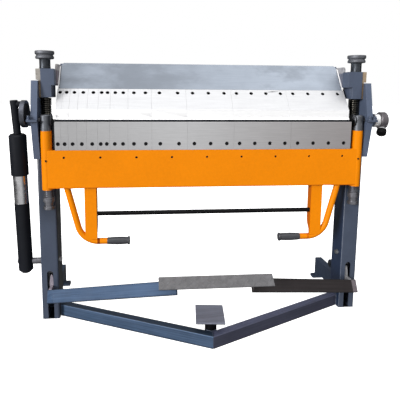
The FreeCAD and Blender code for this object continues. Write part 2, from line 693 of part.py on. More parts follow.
for side, name, end in ((LEFT, "pivot_shaft_left", 129.0), (RIGHT, "pivot_shaft_right", 158.0)):
    out = "X" if side > 0 else "-X"
    shaft = cyl(D("shaft_radius"), end - 13, AX(side, 13), 0, HB, out)
    head = cyl(28.4, 3.8, AX(side, 12), 0, HB, out)
    collar = cyl(12.5, 4.6, AX(side, 60.2), 0, HB, out)
    node(fuse([shaft, chamfer(head, 1.5, lambda e: e.Curve.TypeId == "Part::GeomCircle"), collar]), name)

collars = []
for side in (LEFT, RIGHT):
    top = cyl(24, 24, AX(side, 35), 0, HB - 293.3 - 24)
    neck = cyl(16, 40, AX(side, 35), 0, HB - 293.3 - 40)
    low = cyl(24, 44, AX(side, 35), 0, HB - 377)
    solid = fuse([top, neck, low])
    collars.append(chamfer(solid, 1.5, lambda e: e.Curve.TypeId == "Part::GeomCircle" and abs(e.Curve.Radius - 24) < 0.1))
node(group(collars), "adjusting_collars")

grubs = []
for jx in jack_x:
    grubs.append(cut(cyl(4.6, 7.4, Q(jx), -17.2, HB - 155, "Y"), prism(6, 2.6, 4, Q(jx), -20, HB - 155, "Y")))
for side in (LEFT, RIGHT):
    grubs.append(cut(cyl(4, 8.5, AX(side, AXA), -24.8, HB - 168, "Y"), prism(6, 2.2, 4, AX(side, AXA), -26.5, HB - 168, "Y")))
node(group(grubs), "set_screws")

# handles: flat arm, bent tube, grip on each side
GZ, RT = D("grip_z"), D("handle_tube_radius")
BEND = 88.6
tilt = math.radians(14.0)
arms, tubes, grips = [], [], []
for side in (LEFT, RIGHT):
    # the bent tube: straight from the apron, one bend, straight to the grip
    knee_x = 534.2
    tlen = BEND * math.tan(math.radians(38.0))
    c_x, c_z = knee_x - tlen, GZ + BEND
    s_x, s_z = knee_x + tlen * math.sin(tilt), val(GZ) + tlen * math.cos(tilt)
    top_z = 604.7
    run = (top_z - s_z) / math.cos(tilt)
    d = (side * math.sin(tilt), 0, math.cos(tilt))
    straight = cyl(RT, run + 12, Q(side * s_x), 0, Q(s_z), d)
    lid = box(Q(side * 540), Q(side * 660), -30, 30, Q(top_z), Q(top_z + 40))
    straight = cut(straight, lid)
    rot = turn((0, 0, -1), (side, 0, 0))
    bend = torus(BEND, RT, 76.0, Q(side * c_x), 0, c_z, rot)
    inner = cyl(RT, c_x - 334.0, Q(side * c_x), 0, GZ, "-X" if side > 0 else "X")
    tube = fuse([straight, bend, inner])
    tubes.append(tube)
    # arm: flat bar under the apron down to the tube
    outer_x, inner_x = D("arm_outer"), D("arm_outer") - D("arm_wide")
    s = profile([(-14, GZ), (-14, 604.7), (25, 604.7), (25, 450), (22.5, 436), (17, 424), (9, 412), (0, 402), (-3, 390), (-3, GZ)])
    bar = doc.addObject("Part::Extrusion", uid("arm_bar"))
    bar.Base = s
    bar.DirMode = "Custom"
    bar.Dir = V(1, 0, 0)
    bar.LengthFwd = VALUES["arm_wide"]
    bar.Solid = True
    place(bar, Q(VALUES["arm_outer"] - VALUES["arm_wide"] if side > 0 else -VALUES["arm_outer"]), 0.0, 0)
    room = [cyl(RT + 0.2, c_x - 300.0, Q(side * c_x), 0, GZ, "-X" if side > 0 else "X"),
            torus(BEND, RT + 0.2, 76.0, Q(side * c_x), 0, c_z, rot),
            cyl(RT + 0.2, 60, Q(side * s_x), 0, Q(s_z), d),
            box(Q(side * 440), Q(side * 540), -40, 40, GZ - 30, GZ + 12),
            cyl(D("tie_rod_radius") + 0.3, 74.9, Q(side * 440), -1.5, D("tie_rod_z"), "X" if side > 0 else "-X")]
    arms.append(cut(bar, room))
    g = cyl(16.5, 90, Q(side * 428), 0, GZ, "-X" if side > 0 else "X")
    lip = cyl(18.5, 7, Q(side * 339), 0, GZ, "-X" if side > 0 else "X")
    cap = cyl(16.5, 3.5, Q(side * 333.5), 0, GZ, "-X" if side > 0 else "X")
    grips.append(cut(fuse([g, lip, cap]), cyl(RT + 0.2, 94.2, Q(side * 428.2), 0, GZ, "-X" if side > 0 else "X")))
doc.recompute()
for i, a in enumerate(arms):
    if len(a.Shape.Solids) > 1:
        raise RuntimeError("handle arm is in pieces: %s" % [s.Volume for s in a.Shape.Solids])
node(group(arms), "handle_arms")
node(group(tubes), "handle_tubes")
node(group(grips), "handle_grips")
node(cyl(D("tie_rod_radius"), (D("arm_outer") - 6) * 2, D("arm_outer") * -1 + 6, -1.5, D("tie_rod_z"), "X"), "tie_rod")

# crank at the left end of the axis: bright disc with a black face plate
rear_disc = cyl(44, 2.6, AX(LEFT, 110.4), 8, HB + 25, "-X")
face_disc = cyl(D("crank_radius"), 19.6, AX(LEFT, 113), 8, HB + 25, "-X")
bore = cyl(D("shaft_radius") + 0.3, 80, AX(LEFT, 80), 0, HB, "-X")
node(cut(rear_disc, bore), "crank_rear_disc")
bore2 = cyl(D("shaft_radius") + 0.3, 80, AX(LEFT, 80), 0, HB, "-X")
inner_rim = -(635 + 113.0) + VALUES["origin_x"]
face_disc = chamfer(face_disc, 1.5, lambda e: e.Curve.TypeId == "Part::GeomCircle" and abs(e.CenterOfMass.x - inner_rim) < 0.5)
node(cut(chamfer(face_disc, 1.2, lambda e: e.Curve.TypeId == "Part::GeomCircle" and e.CenterOfMass.x < inner_rim - 15), bore2), "crank_disc")

# graduated ring at the right end
ring = chamfer(cyl(D("ring_radius"), 22.4, AX(RIGHT, 107.9), 0, HB, "X"), 1.0, lambda e: e.Curve.TypeId == "Part::GeomCircle")
node(cut(ring, cyl(D("shaft_radius") + 0.3, 60, AX(RIGHT, 100), 0, HB, "X")), "graduated_ring")

# -------------------------------------------------------------- angle stop
disc = cyl(D("disc_radius"), 31, AX(RIGHT, 130.8), 0, HB, "X")
disc = chamfer(disc, 3, lambda e: e.Curve.TypeId == "Part::GeomCircle")
# the clamp screw leans forward, down and inward
K = (-0.410884, -0.501078, -0.761639)
SX, SY, SZ = 776.0, -20.3, 859.1


def on_screw(d):
    return Q(SX + K[0] * d), SY + K[1] * d, Q(SZ + K[2] * d)


boss = cyl(13, 16, *on_screw(-6), K)
bolt = cyl(7, 32, *on_screw(0), K)
solid = fuse([disc, boss, bolt])
node(cut(solid, cyl(D("shaft_radius") + 0.05, 30, AX(RIGHT, 129), 0, HB, "X")), "stop_disc")
k0, k1 = 13.2, 36.0
kb = cyl(20.6, k1 - k0, *on_screw(k0), K)
kb = chamfer(kb, 4, lambda e: e.Curve.TypeId == "Part::GeomCircle")
kflutes = []
kv = V(*K)
e1 = kv.cross(V(0, 1, 0)).normalize()
e2 = kv.cross(e1).normalize()
for i in range(6):
    t = 2 * math.pi * i / 6
    off = e1 * (25.5 * math.cos(t)) + e2 * (25.5 * math.sin(t))
    fx, fy_, fz = on_screw(2)
    kflutes.append(cyl(8, 60, fx + off.x, fy_ + off.y, fz + off.z, K))
kbore = cyl(7.05, 22, *on_screw(11.0), K)
node(cut(kb, kflutes + [kbore]), "stop_knob")

# ------------------------------------------------------------------- pedal
# the pedal is a flat frame that rises 30 degrees to the front
T = math.radians(val(D("pedal_tilt")))
PV = V(0, -math.cos(T), math.sin(T))      # forward and up, in the frame's plane
PW = V(0, math.sin(T), math.cos(T))       # square to it
P0 = V(0, -53.0, 114.0)
SH = D("pedal_shift")


def pedal_point(x, v, w):
    p = P0 + PV * v + PW * w
    return V(x, p.y, p.z)


def plate_between(pts, w0, w1):
    """Part::Feature prism: outline points (x, v) swept from w0 to w1 along PW."""
    low = [pedal_point(px_, pv_, w0) for px_, pv_ in pts]
    wire = Part.makePolygon(low + [low[0]])
    solid = Part.Face(wire).extrude(PW * (w1 - w0))
    f = doc.addObject("Part::Feature", uid("plate"))
    f.Shape = solid
    place(f, Q(0), 0.0, 0)
    return f


arm_h = VALUES["arm_tall"]
arm_t = VALUES["arm_thick"]
tread_left, tread_right = -216.0, 236.0
ARMS = {}
for side, name in ((LEFT, "pedal_arm_left"), (RIGHT, "pedal_arm_right")):
    sh = VALUES["pedal_shift"]
    x_out, x_in = side * 663.8 + sh, side * 154.0 + sh
    # front face from (x_out, 2) to (x_in, 220), thickness behind it
    dx, dv = x_in - x_out, 218.0
    ln = math.hypot(dx, dv)
    # rear face offset by the thickness, square to the front face
    ox, ov = -side * arm_t * dv / ln, -arm_t * abs(dx) / ln
    back = 2.0 + ov - dv * abs(ox / dx)
    pts = [(x_out, 2.0), (x_in, 220.0), (x_in + ox, 220.0 + ov), (x_out, back)]
    arm_shape = plate_between(pts, 0.0, arm_h)
    # end block that joins the arm to the lever
    e0, e1_ = (635 + 28.0) * side + sh, (635 + (56.4 if side < 0 else 52.4)) * side + sh
    q = [pedal_point(0, 0, 0), pedal_point(0, 0, arm_h), pedal_point(0, -16, arm_h), pedal_point(0, -16, 0)]
    blk = Part.Face(Part.makePolygon([V(e0, p.y, p.z) for p in q] + [V(e0, q[0].y, q[0].z)])).extrude(V(e1_ - e0, 0, 0))
    joined = arm_shape.Shape.copy()
    joined.Placement = FreeCAD.Placement()
    joined = joined.fuse(blk).removeSplitter()
    ARMS[side] = joined
    ft = doc.addObject("Part::Feature", uid("arm"))
    ft.Shape = joined
    place(ft, Q(0), 0.0, 0)
    node(ft, name)

# lever plates: from the end block back through the slot to the pivot
for side, name in ((LEFT, "lever_plate_left"), (RIGHT, "lever_plate_right")):
    a0, a1 = VALUES["lever_in"], VALUES["lever_in"] + VALUES["lever_thick"]
    f = Part.makePolygon([V(0, -36, 116), V(0, -8, 158), V(0, 60, 153.5), V(0, 200, 168), V(0, 218, 150), V(0, 200, 132), V(0, 60, 108), V(0, -20, 104), V(0, -36, 116)])
    x0 = side * (635 + a0)
    plate = Part.Face(f).extrude(V(side * (a1 - a0), 0, 0))
    plate.translate(V(x0, 0, 0))
    eye = Part.makeCylinder(20, abs(a1 - a0), V(x0, VALUES["pivot_y"], VALUES["pivot_z"]), V(side, 0, 0))
    solid = plate.fuse(eye)
    bore = Part.makeCylinder(8.05, 60, V(side * (635 + 30), VALUES["pivot_y"], VALUES["pivot_z"]), V(side, 0, 0))
    # slot that carries the pull rod's pin
    slot = Part.makeBox(60, 24, 12.4, V(side * (635 + 45) - 30, VALUES["knob_y"] - 12, 131 - 6.2))
    # tapered lug that stands up behind the slot of the column
    lug = Part.makePolygon([V(side * (635 + la), 39, lz) for la, lz in ((a0, 150), (a0 + 18, 150), (a0 + 17.5, 165), (a0 + 15.3, 182), (a0 + 12.4, 196), (a0 + 9, 204), (a0 + 6, 204), (a0 + 2.5, 196), (a0 + 0.8, 182), (a0, 165), (a0, 150))])
    solid = solid.fuse(Part.Face(lug).extrude(V(0, 10, 0)))
    solid = solid.cut(bore).cut(slot).cut(ARMS[side]).removeSplitter()
    ft = doc.addObject("Part::Feature", uid("lever"))
    ft.Shape = solid
    place(ft, Q(0), 0.0, 0)
    node(ft, name)

# tread plate: inclined chequer plate with a thin top lip
top_e, low_e = (-235.0, 296.5), (-276.0, 263.5)
ty, tz = low_e[0] - top_e[0], low_e[1] - top_e[1]
tl = math.hypot(ty, tz)
trot = turn((1, 0, 0), (0, ty / tl, tz / tl))
tp = rbox(Q(tread_right - tread_left), Q(tl), D("tread_thick"), Q(tread_left), top_e[0], Q(top_e[1]), trot)
nrm = V(1, 0, 0).cross(V(0, ty / tl, tz / tl))
lip = rbox(Q(tread_right - tread_left), Q(3), Q(14), Q(tread_left), top_e[0], Q(top_e[1]), trot)
# two short brackets carry the tread on the tops of the arms
brs = []
for b0, b1 in ((-205.0, -155.0), (221.0, 171.0)):
    brs.append(plate_between([(b0, 192.0), (b1, 192.0), (b1, 250.0), (b0, 250.0)], arm_h, arm_h + 6))
tread = fuse([tp, lip] + brs)
node(tread, "tread_plate")

# ----------------------------------------------------------- balance strut
TOPY, TOPZ = 14.0, 955.0
BOTY, BOTZ = STRUT_BOTTOM
ln = math.hypot(TOPY - BOTY, TOPZ - BOTZ)
U = V(0, (TOPY - BOTY) / ln, (TOPZ - BOTZ) / ln)     # up along the strut
SA = D("strut_a")


def on_strut(dist):
    """Point at a distance above the lower pin, along the strut."""
    return BOTY + U.y * dist, BOTZ + U.z * dist


def strut_cyl(r, lo, hi):
    y0, z0 = on_strut(lo)
    return cyl(r, hi - lo, AX(LEFT, SA), y0, Q(z0), (U.x, U.y, U.z))


# distances above the lower pin: the bend line is about 632 up
y0, z0 = on_strut(573.6)
head = cyl(D("strut_rod_radius"), ln + 16 - 573.6, AX(LEFT, SA), y0, Q(z0), (-0.046, U.y, U.z))
head = chamfer(head, 1.6, lambda e: e.Curve.TypeId == "Part::GeomCircle" and e.CenterOfMass.z > 900)
boss = cyl(12, 26, AX(LEFT, 133), TOPY, TOPZ, "-X")
node(fuse([head, boss]), "strut_rod")
sl = strut_cyl(D("sleeve_radius"), 397.0, 572.0)
sl = chamfer(sl, 7, lambda e: e.Curve.TypeId == "Part::GeomCircle" and e.CenterOfMass.z > 800)
node(cut(sl, strut_cyl(D("inner_tube_radius") + 0.35, 390.0, 556.0)), "strut_sleeve")
tube = strut_cyl(D("inner_tube_radius"), 41.0, 433.0)
node(cut(tube, strut_cyl(25.5, 60.0, 560.0)), "strut_inner_tube")
outer = strut_cyl(D("outer_tube_radius"), -50.0, 273.0)
outer = chamfer(outer, 12, lambda e: e.Curve.TypeId == "Part::GeomCircle" and e.CenterOfMass.z < 400)
bore = strut_cyl(D("inner_tube_radius") + 0.02, 41.0, 290.0)
eye = cyl(8.05, 80, AX(LEFT, 120), BOTY, BOTZ, "-X")
node(cut(outer, [bore, eye]), "strut_outer_tube")

# ------------------------------------------------------------------ export
doc.recompute()
bad = [o.Name for o in doc.Objects if "Invalid" in o.State or "Error" in o.State]
if bad:
    raise RuntimeError("objects with errors: %s" % bad)
names = set()
lo, hi = [1e9] * 3, [-1e9] * 3
for obj, name in NODES:
    obj.Label = name
    s = obj.Shape
    if s.isNull() or not s.isValid() or not s.Solids:
        raise RuntimeError("bad shape: " + name)
    if name in names:
        raise RuntimeError("two nodes called " + name)
    names.add(name)
    bb = s.BoundBox
    lo = [min(lo[0], bb.XMin), min(lo[1], bb.YMin), min(lo[2], bb.ZMin)]
    hi = [max(hi[0], bb.XMax), max(hi[1], bb.YMax), max(hi[2], bb.ZMax)]
for obj, name in NODES:
    obj.Shape.exportStep("parts/%s.step" % name)
    print(name, len(obj.Shape.Solids), round(obj.Shape.Volume / 1000.0, 1))
print("nodes", len(NODES), "box", [round(v, 2) for v in lo], [round(v, 2) for v in hi])
print("centre", round((lo[0] + hi[0]) / 2, 3), round((lo[1] + hi[1]) / 2, 3))
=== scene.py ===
import bpy, bmesh, math, json
from mathutils import Vector, Matrix


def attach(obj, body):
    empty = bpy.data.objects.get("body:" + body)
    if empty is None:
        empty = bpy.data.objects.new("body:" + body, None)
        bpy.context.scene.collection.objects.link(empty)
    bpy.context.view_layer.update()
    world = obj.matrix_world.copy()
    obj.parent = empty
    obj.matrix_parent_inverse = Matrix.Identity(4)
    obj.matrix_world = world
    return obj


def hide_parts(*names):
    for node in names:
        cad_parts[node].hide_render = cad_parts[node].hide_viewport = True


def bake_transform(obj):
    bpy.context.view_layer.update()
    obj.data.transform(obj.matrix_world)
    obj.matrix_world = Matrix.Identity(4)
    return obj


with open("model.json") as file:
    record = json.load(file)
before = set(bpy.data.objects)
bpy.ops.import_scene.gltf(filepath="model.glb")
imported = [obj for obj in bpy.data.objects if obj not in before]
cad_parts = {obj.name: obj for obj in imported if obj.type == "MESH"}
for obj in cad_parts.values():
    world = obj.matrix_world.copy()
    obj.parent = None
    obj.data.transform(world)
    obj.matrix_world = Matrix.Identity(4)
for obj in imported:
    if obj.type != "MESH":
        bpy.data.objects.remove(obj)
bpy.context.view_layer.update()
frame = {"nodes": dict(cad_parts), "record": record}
N = frame["nodes"]
BODY_OF = {n: b for b, ns in frame["record"]["behaviour"]["bodies"].items() for n in ns}
SLOT_OF = {s["node"]: s.get("material_slot") for s in frame["record"]["subparts"]}

# ------------------------------------------------------------------ frame
# millimetres with the bend line at y = 0 and the floor at z = 0
OX, OY, HB, HALF = 16.8, -63.0, 890.0, 635.0


def P(x, y, z):
    return Vector(((x + OX) * 0.001, (y + OY) * 0.001, z * 0.001))


def AX(side, a):
    return side * (HALF + a)


# ----------------------------------------------------------------- camera
def make_camera():
    yaw, pitch, roll = 0.0928, 0.1363, 0.0068
    F = Vector((math.sin(yaw) * math.cos(pitch), math.cos(yaw) * math.cos(pitch), -math.sin(pitch)))
    R0 = Vector((math.cos(yaw), -math.sin(yaw), 0))
    U0 = R0.cross(F)
    R = R0 * math.cos(roll) + U0 * math.sin(roll)
    U = -R0 * math.sin(roll) + U0 * math.cos(roll)
    data = bpy.data.cameras.new("camera")
    data.sensor_width = 36.0
    data.lens = 39.6
    data.shift_x, data.shift_y = 0.045, -0.121
    data.clip_start, data.clip_end = 0.05, 100.0
    cam = bpy.data.objects.new("camera", data)
    bpy.context.scene.collection.objects.link(cam)
    m = Matrix.Identity(4)
    for i in range(3):
        m[i][0], m[i][1], m[i][2] = R[i], U[i], -F[i]
    m.translation = Vector((-0.2623, -1.9254, 1.0120))
    cam.matrix_world = m
    bpy.context.scene.camera = cam


make_camera()


# ---------------------------------------------------------------- materials
def srgb(r, g, b):
    def f(c):
        c = c / 255.0
        return c / 12.92 if c <= 0.04045 else ((c + 0.055) / 1.055) ** 2.4
    return (f(r), f(g), f(b), 1.0)


class Mat:
    """A procedural material built from object-space noise; sizes in millimetres."""

    def __init__(self, name, metallic=0.0, rough=0.4, spec=0.5, coat=0.0, coat_rough=0.15, aniso=0.0, sheen=0.0):
        self.m = bpy.data.materials.new(name)
        self.m.use_nodes = True
        self.nt = self.m.node_tree
        self.b = self.nt.nodes["Principled BSDF"]
        self.b.inputs["Metallic"].default_value = metallic
        self.b.inputs["Roughness"].default_value = rough
        self.b.inputs["Specular IOR Level"].default_value = spec
        self.b.inputs["Coat Weight"].default_value = coat
        self.b.inputs["Coat Roughness"].default_value = coat_rough
        self.b.inputs["Anisotropic"].default_value = aniso
        self.b.inputs["Sheen Weight"].default_value = sheen
        self.tc = self.node("ShaderNodeTexCoord").outputs["Object"]

    def node(self, kind, **props):
        n = self.nt.nodes.new(kind)
        for k, v in props.items():
            setattr(n, k, v)
        return n

    def wire(self, a, b):
        if hasattr(a, "links"):
            self.nt.links.new(a, b)
        else:
            b.default_value = a

    def scaled(self, sx, sy, sz, rot=(0, 0, 0)):
        mp = self.node("ShaderNodeMapping")
        mp.inputs["Scale"].default_value = (sx, sy, sz)
        mp.inputs["Rotation"].default_value = rot
        self.nt.links.new(self.tc, mp.inputs["Vector"])
        return mp.outputs["Vector"]

    def noise(self, size, detail=2.0, rough=0.5, stretch=(1, 1, 1), dist=0.0, rot=(0, 0, 0)):
        """Noise with features about size mm across, stretched along the axes."""
        n = self.node("ShaderNodeTexNoise")
        n.inputs["Scale"].default_value = 1.0
        n.inputs["Detail"].default_value = detail
        n.inputs["Roughness"].default_value = rough
        n.inputs["Distortion"].default_value = dist
        k = 1000.0 / size
        self.nt.links.new(self.scaled(k / stretch[0], k / stretch[1], k / stretch[2], rot), n.inputs["Vector"])
        return n.outputs["Fac"]

    def dot(self, d):
        """Object-space distance along the direction d, in metres."""
        n = self.node("ShaderNodeVectorMath", operation="DOT_PRODUCT")
        self.nt.links.new(self.tc, n.inputs[0])
        n.inputs[1].default_value = tuple(Vector(d).normalized())
        return n.outputs["Value"]

    def streaks(self, size, d, stretch=60.0, detail=4.0):
        """Noise drawn out along the direction d."""
        w = Vector(d).normalized()
        a = Vector((0, 0, 1)) if abs(w.z) < 0.9 else Vector((1, 0, 0))
        u = a.cross(w).normalized()
        v = w.cross(u)
        k = 1000.0 / size
        c = self.node("ShaderNodeCombineXYZ")
        for i, (q, f) in enumerate(((w, k / stretch), (u, k), (v, k))):
            self.wire(self.math("MULTIPLY", self.dot(q), f), c.inputs[i])
        n = self.node("ShaderNodeTexNoise")
        n.inputs["Scale"].default_value = 1.0
        n.inputs["Detail"].default_value = detail
        n.inputs["Roughness"].default_value = 0.6
        self.nt.links.new(c.outputs[0], n.inputs["Vector"])
        return n.outputs["Fac"]

    def voronoi(self, size, feature="F1", out="Distance", stretch=(1, 1, 1)):
        n = self.node("ShaderNodeTexVoronoi", feature=feature)
        n.inputs["Scale"].default_value = 1.0
        k = 1000.0 / size
        self.nt.links.new(self.scaled(k / stretch[0], k / stretch[1], k / stretch[2]), n.inputs["Vector"])
        return n.outputs[out]

    def remap(self, v, a, b, c, d, smooth=False):
        n = self.node("ShaderNodeMapRange")
        n.interpolation_type = "SMOOTHSTEP" if smooth else "LINEAR"
        for k, x in (("From Min", a), ("From Max", b), ("To Min", c), ("To Max", d)):
            n.inputs[k].default_value = x
        self.wire(v, n.inputs["Value"])
        return n.outputs["Result"]

    def math(self, op, a, b=0.0):
        n = self.node("ShaderNodeMath", operation=op)
        self.wire(a, n.inputs[0])
        self.wire(b, n.inputs[1])
        return n.outputs[0]

    def mix(self, fac, a, b, mode="MIX"):
        n = self.node("ShaderNodeMix", data_type="RGBA", blend_type=mode)
        self.wire(fac, n.inputs["Factor"])
        self.wire(a, n.inputs["A"] if False else n.inputs[6])
        self.wire(b, n.inputs[7])
        return n.outputs[2]

    def xyz(self):
        n = self.node("ShaderNodeSeparateXYZ")
        self.nt.links.new(self.tc, n.inputs[0])
        return n.outputs

    def edges(self, width=1.2, lo=0.02, hi=0.3):
        """1 on the edges and corners of the solid, 0 on its faces."""
        bv = self.node("ShaderNodeBevel")
        bv.samples = 4
        bv.inputs["Radius"].default_value = width * 0.001
        g = self.node("ShaderNodeNewGeometry")
        d = self.node("ShaderNodeVectorMath", operation="DOT_PRODUCT")
        self.nt.links.new(bv.outputs["Normal"], d.inputs[0])
        self.nt.links.new(g.outputs["True Normal"], d.inputs[1])
        inv = self.math("SUBTRACT", 1.0, d.outputs["Value"])
        return self.remap(inv, lo, hi, 0.0, 1.0)

    def island(self):
        return self.node("ShaderNodeNewGeometry").outputs["Random Per Island"]

    def color(self, c):
        self.wire(c, self.b.inputs["Base Color"])

    def roughness(self, v):
        self.wire(v, self.b.inputs["Roughness"])

    def bump(self, pairs):
        """pairs of (height, strength, distance mm), chained."""
        last = None
        for h, s, dist in pairs:
            n = self.node("ShaderNodeBump")
            n.inputs["Strength"].default_value = s
            n.inputs["Distance"].default_value = dist * 0.001
            self.nt.links.new(h, n.inputs["Height"])
            if last is not None:
                self.nt.links.new(last, n.inputs["Normal"])
            last = n.outputs["Normal"]
        self.nt.links.new(last, self.b.inputs["Normal"])


def shade(c, k):
    return (c[0] * k, c[1] * k, c[2] * k, 1.0)


def paint(name, c, rough=0.38, worn=(0.30, 0.31, 0.33, 1), wear=0.35, dark=0.86, light=1.12, coat=0.0, peel=0.25, dust=0.06, spec=0.3,
          lift=0.22, along=None, streak=0.5, bands=(), slabs=()):
    """Powder coat: faint orange peel, patchy gloss, dust in the grain, rubbed edges and a painted edge highlight.

    along: direction of long rolling streaks; bands: (direction, from, to, colour factor)
    where the colour is scaled by the factor, ramping between two distances along a direction, in millimetres, mostly
    for painted shade and painted highlight lines;
    slabs: (x from, x to, colour factor) or, near the floor, with (.., z from, z to)."""
    m = Mat(name, rough=rough, spec=spec, coat=coat, coat_rough=0.25)
    broad = m.noise(140, 3, 0.55)
    fine = m.noise(9, 4, 0.6)
    speck = m.noise(1.6, 2, 0.6)
    col = m.mix(m.remap(broad, 0.3, 0.7, 0, 1), shade(c, dark), shade(c, light))
    col = m.mix(m.remap(fine, 0.35, 0.75, 0, 0.22), col, shade(c, 1.35))
    col = m.mix(m.math("MULTIPLY", m.remap(speck, 0.68, 0.78, 0, 1), dust), col, (0.55, 0.56, 0.58, 1))
    if along is not None:
        long = m.streaks(5.0, along, 70.0)
        fine_l = m.streaks(1.6, along, 60.0)
        col = m.mix(m.remap(long, 0.46, 0.72, 0, streak), col, shade(c, 2.0))
        col = m.mix(m.remap(long, 0.50, 0.28, 0, streak * 1.2), col, shade(c, 0.45))
        col = m.mix(m.remap(fine_l, 0.5, 0.75, 0, streak * 0.6), col, shade(c, 2.3))
    e = m.edges(1.6, 0.03, 0.32)
    scratchy = m.remap(m.noise(14, 4, 0.7), 0.46, 0.62, 0, 1)
    rub = m.math("MULTIPLY", m.math("MULTIPLY", e, scratchy), wear)
    # painted edge highlight: every edge lightened towards twice the paint colour, by lift
    col = m.mix(m.math("MULTIPLY", e, lift), col, shade(c, 2.1))
    for d, t0, t1, k in bands:
        kk = k if isinstance(k, tuple) else (k, k, k, 1)
        col = m.mix(m.remap(m.dot(d), t0 * 0.001, t1 * 0.001, 0, 1), col, m.mix(1.0, col, kk, "MULTIPLY"))
    for x0, x1, k, *zz in slabs:
        x = m.xyz()[0]
        inside = m.math("MULTIPLY", m.remap(x, (x0 - 0.4) * 0.001, x0 * 0.001, 0, 1), m.remap(x, x1 * 0.001, (x1 + 0.4) * 0.001, 1, 0))
        if zz:
            inside = m.math("MULTIPLY", inside, m.remap(m.xyz()[2], (zz[1] - 0.3) * 0.001, zz[1] * 0.001, 1, 0))
        col = m.mix(inside, col, m.mix(1.0, col, k, "MULTIPLY"))
    col = m.mix(rub, col, worn)
    m.color(col)
    m.roughness(m.remap(m.noise(45, 3, 0.6), 0.25, 0.75, rough - 0.08, rough + 0.12))
    m.bump([(m.noise(2.2, 2, 0.5), peel, 0.08), (m.noise(60, 2, 0.5), 0.12, 0.4)])
    return m.m


def brushed(name, c, rough=0.32, along="X", grain=0.35, metallic=1.0, tint=(1, 1, 1), vary=0.12, islands=0.0, painted_edge_highlight=0.25, aniso=0.35, blotch=0.1, painted_reflection_falloff=None, left=None, holes=None, facet=None, top_dark=None):
    """Ground or brushed steel with long fine scratches.

    holes: (direction, first, last, low z, high z) of screw holes whose walls are painted near-black as shade; facet:
    (z, z, factor) for a facet above a height, darkened as painted shade; top_dark: (z, z) above which the steel is
    painted near-black as the shadow of a gap. Metres."""
    m = Mat(name, metallic=metallic, rough=rough, aniso=aniso)
    st = {"X": (60, 1, 1), "Z": (1, 1, 60), "Y": (1, 60, 1)}[along]
    fine = m.noise(0.9, 3, 0.6, stretch=st)
    mid = m.noise(4, 3, 0.6, stretch=tuple(0.5 * s if s > 1 else 1 for s in st))
    cloud = m.noise(90, 4, 0.6)
    col = m.mix(m.remap(fine, 0.3, 0.7, 0, 1), shade(c, 1 - vary), shade(c, 1 + vary * 0.7))
    col = m.mix(m.remap(mid, 0.45, 0.8, 0, 0.3), col, shade(c, 0.72))
    col = m.mix(m.remap(cloud, 0.35, 0.75, 0, blotch * 2), col, shade(c, 0.8))
    # painted reflection: the colour is scaled by the factor from one x onwards, dimming the steel towards the right
    if painted_reflection_falloff:
        x = m.xyz()[0]
        g = m.remap(x, painted_reflection_falloff[0], painted_reflection_falloff[1], 0, 1)
        col = m.mix(g, col, m.mix(1.0, col, painted_reflection_falloff[2], "MULTIPLY"))
    # painted shade: the colour is darkened by the factor towards the left end, for shade from the plate and column
    if left:
        k = m.remap(m.xyz()[0], left[0], left[1], 1, 0)
        col = m.mix(k, col, m.mix(1.0, col, (left[2], left[2], left[2], 1), "MULTIPLY"))
    if islands:
        col = m.mix(m.math("MULTIPLY", m.island(), islands), col, shade(c, 0.62))
    # painted edge highlight: edges lightened towards white
    if painted_edge_highlight:
        col = m.mix(m.math("MULTIPLY", m.edges(0.7, 0.03, 0.3), painted_edge_highlight), col, (0.95, 0.95, 0.96, 1))
    # painted shade: the colour is scaled by the factor above a height, darkening a facet turned from the light
    if facet:
        col = m.mix(m.remap(m.xyz()[2], facet[0], facet[1], 0, 1), col, m.mix(1.0, col, facet[2], "MULTIPLY"))
    # painted shadow: near-black above a height, for the dark gap over the top edge
    if top_dark:
        col = m.mix(m.remap(m.xyz()[2], top_dark[0], top_dark[1], 0, 1), col, (0.012, 0.012, 0.013, 1))
    # painted shade: screw-hole walls painted near-black, for the shade in the recesses
    if holes:
        d, t0, t1, z0, z1 = holes
        deep = m.math("MULTIPLY", m.remap(m.dot(d), t0, t0 + 0.0005, 0, 1), m.remap(m.dot(d), t1, t1 + 0.0005, 1, 0))
        tall = m.math("MULTIPLY", m.remap(m.xyz()[2], z0, z0 + 0.0005, 0, 1), m.remap(m.xyz()[2], z1, z1 + 0.0005, 1, 0))
        inside = m.remap(m.math("ABSOLUTE", m.math("SUBTRACT", m.xyz()[0], OX * 0.001)), 0.6342, 0.6344, 1, 0)
        col = m.mix(m.math("MULTIPLY", m.math("MULTIPLY", deep, tall), inside), col, (0.01, 0.01, 0.01, 1))
    m.color(col)
    m.roughness(m.remap(mid, 0.2, 0.8, rough - 0.08, rough + 0.14))
    m.bump([(fine, grain, 0.03), (mid, grain * 0.5, 0.05)])
    return m.m


def turned(name, c, rough=0.25, metallic=1.0, rust=0.0, painted_edge_highlight=0.4, dark=0.7):
    """Machined or blackened round stock: fine tool marks, oil film, edges lightened as a painted highlight."""
    m = Mat(name, metallic=metallic, rough=rough, spec=0.5)
    a = m.noise(1.2, 3, 0.6)
    b = m.noise(25, 4, 0.6)
    col = m.mix(m.remap(b, 0.35, 0.7, 0, 1), shade(c, dark), shade(c, 1.15))
    col = m.mix(m.remap(a, 0.5, 0.8, 0, 0.25), col, shade(c, 1.6))
    if rust:
        col = m.mix(m.math("MULTIPLY", m.remap(m.noise(12, 4, 0.65), 0.55, 0.7, 0, 1), rust), col, (0.16, 0.09, 0.05, 1))
    # painted edge highlight: edges lightened towards pale steel
    col = m.mix(m.math("MULTIPLY", m.edges(0.9, 0.03, 0.3), painted_edge_highlight), col, (0.7, 0.71, 0.73, 1))
    m.color(col)
    m.roughness(m.remap(b, 0.25, 0.75, rough - 0.05, rough + 0.15))
    m.bump([(m.noise(0.8, 2, 0.5), 0.18, 0.04), (m.noise(18, 2, 0.5), 0.12, 0.15)])
    return m.m


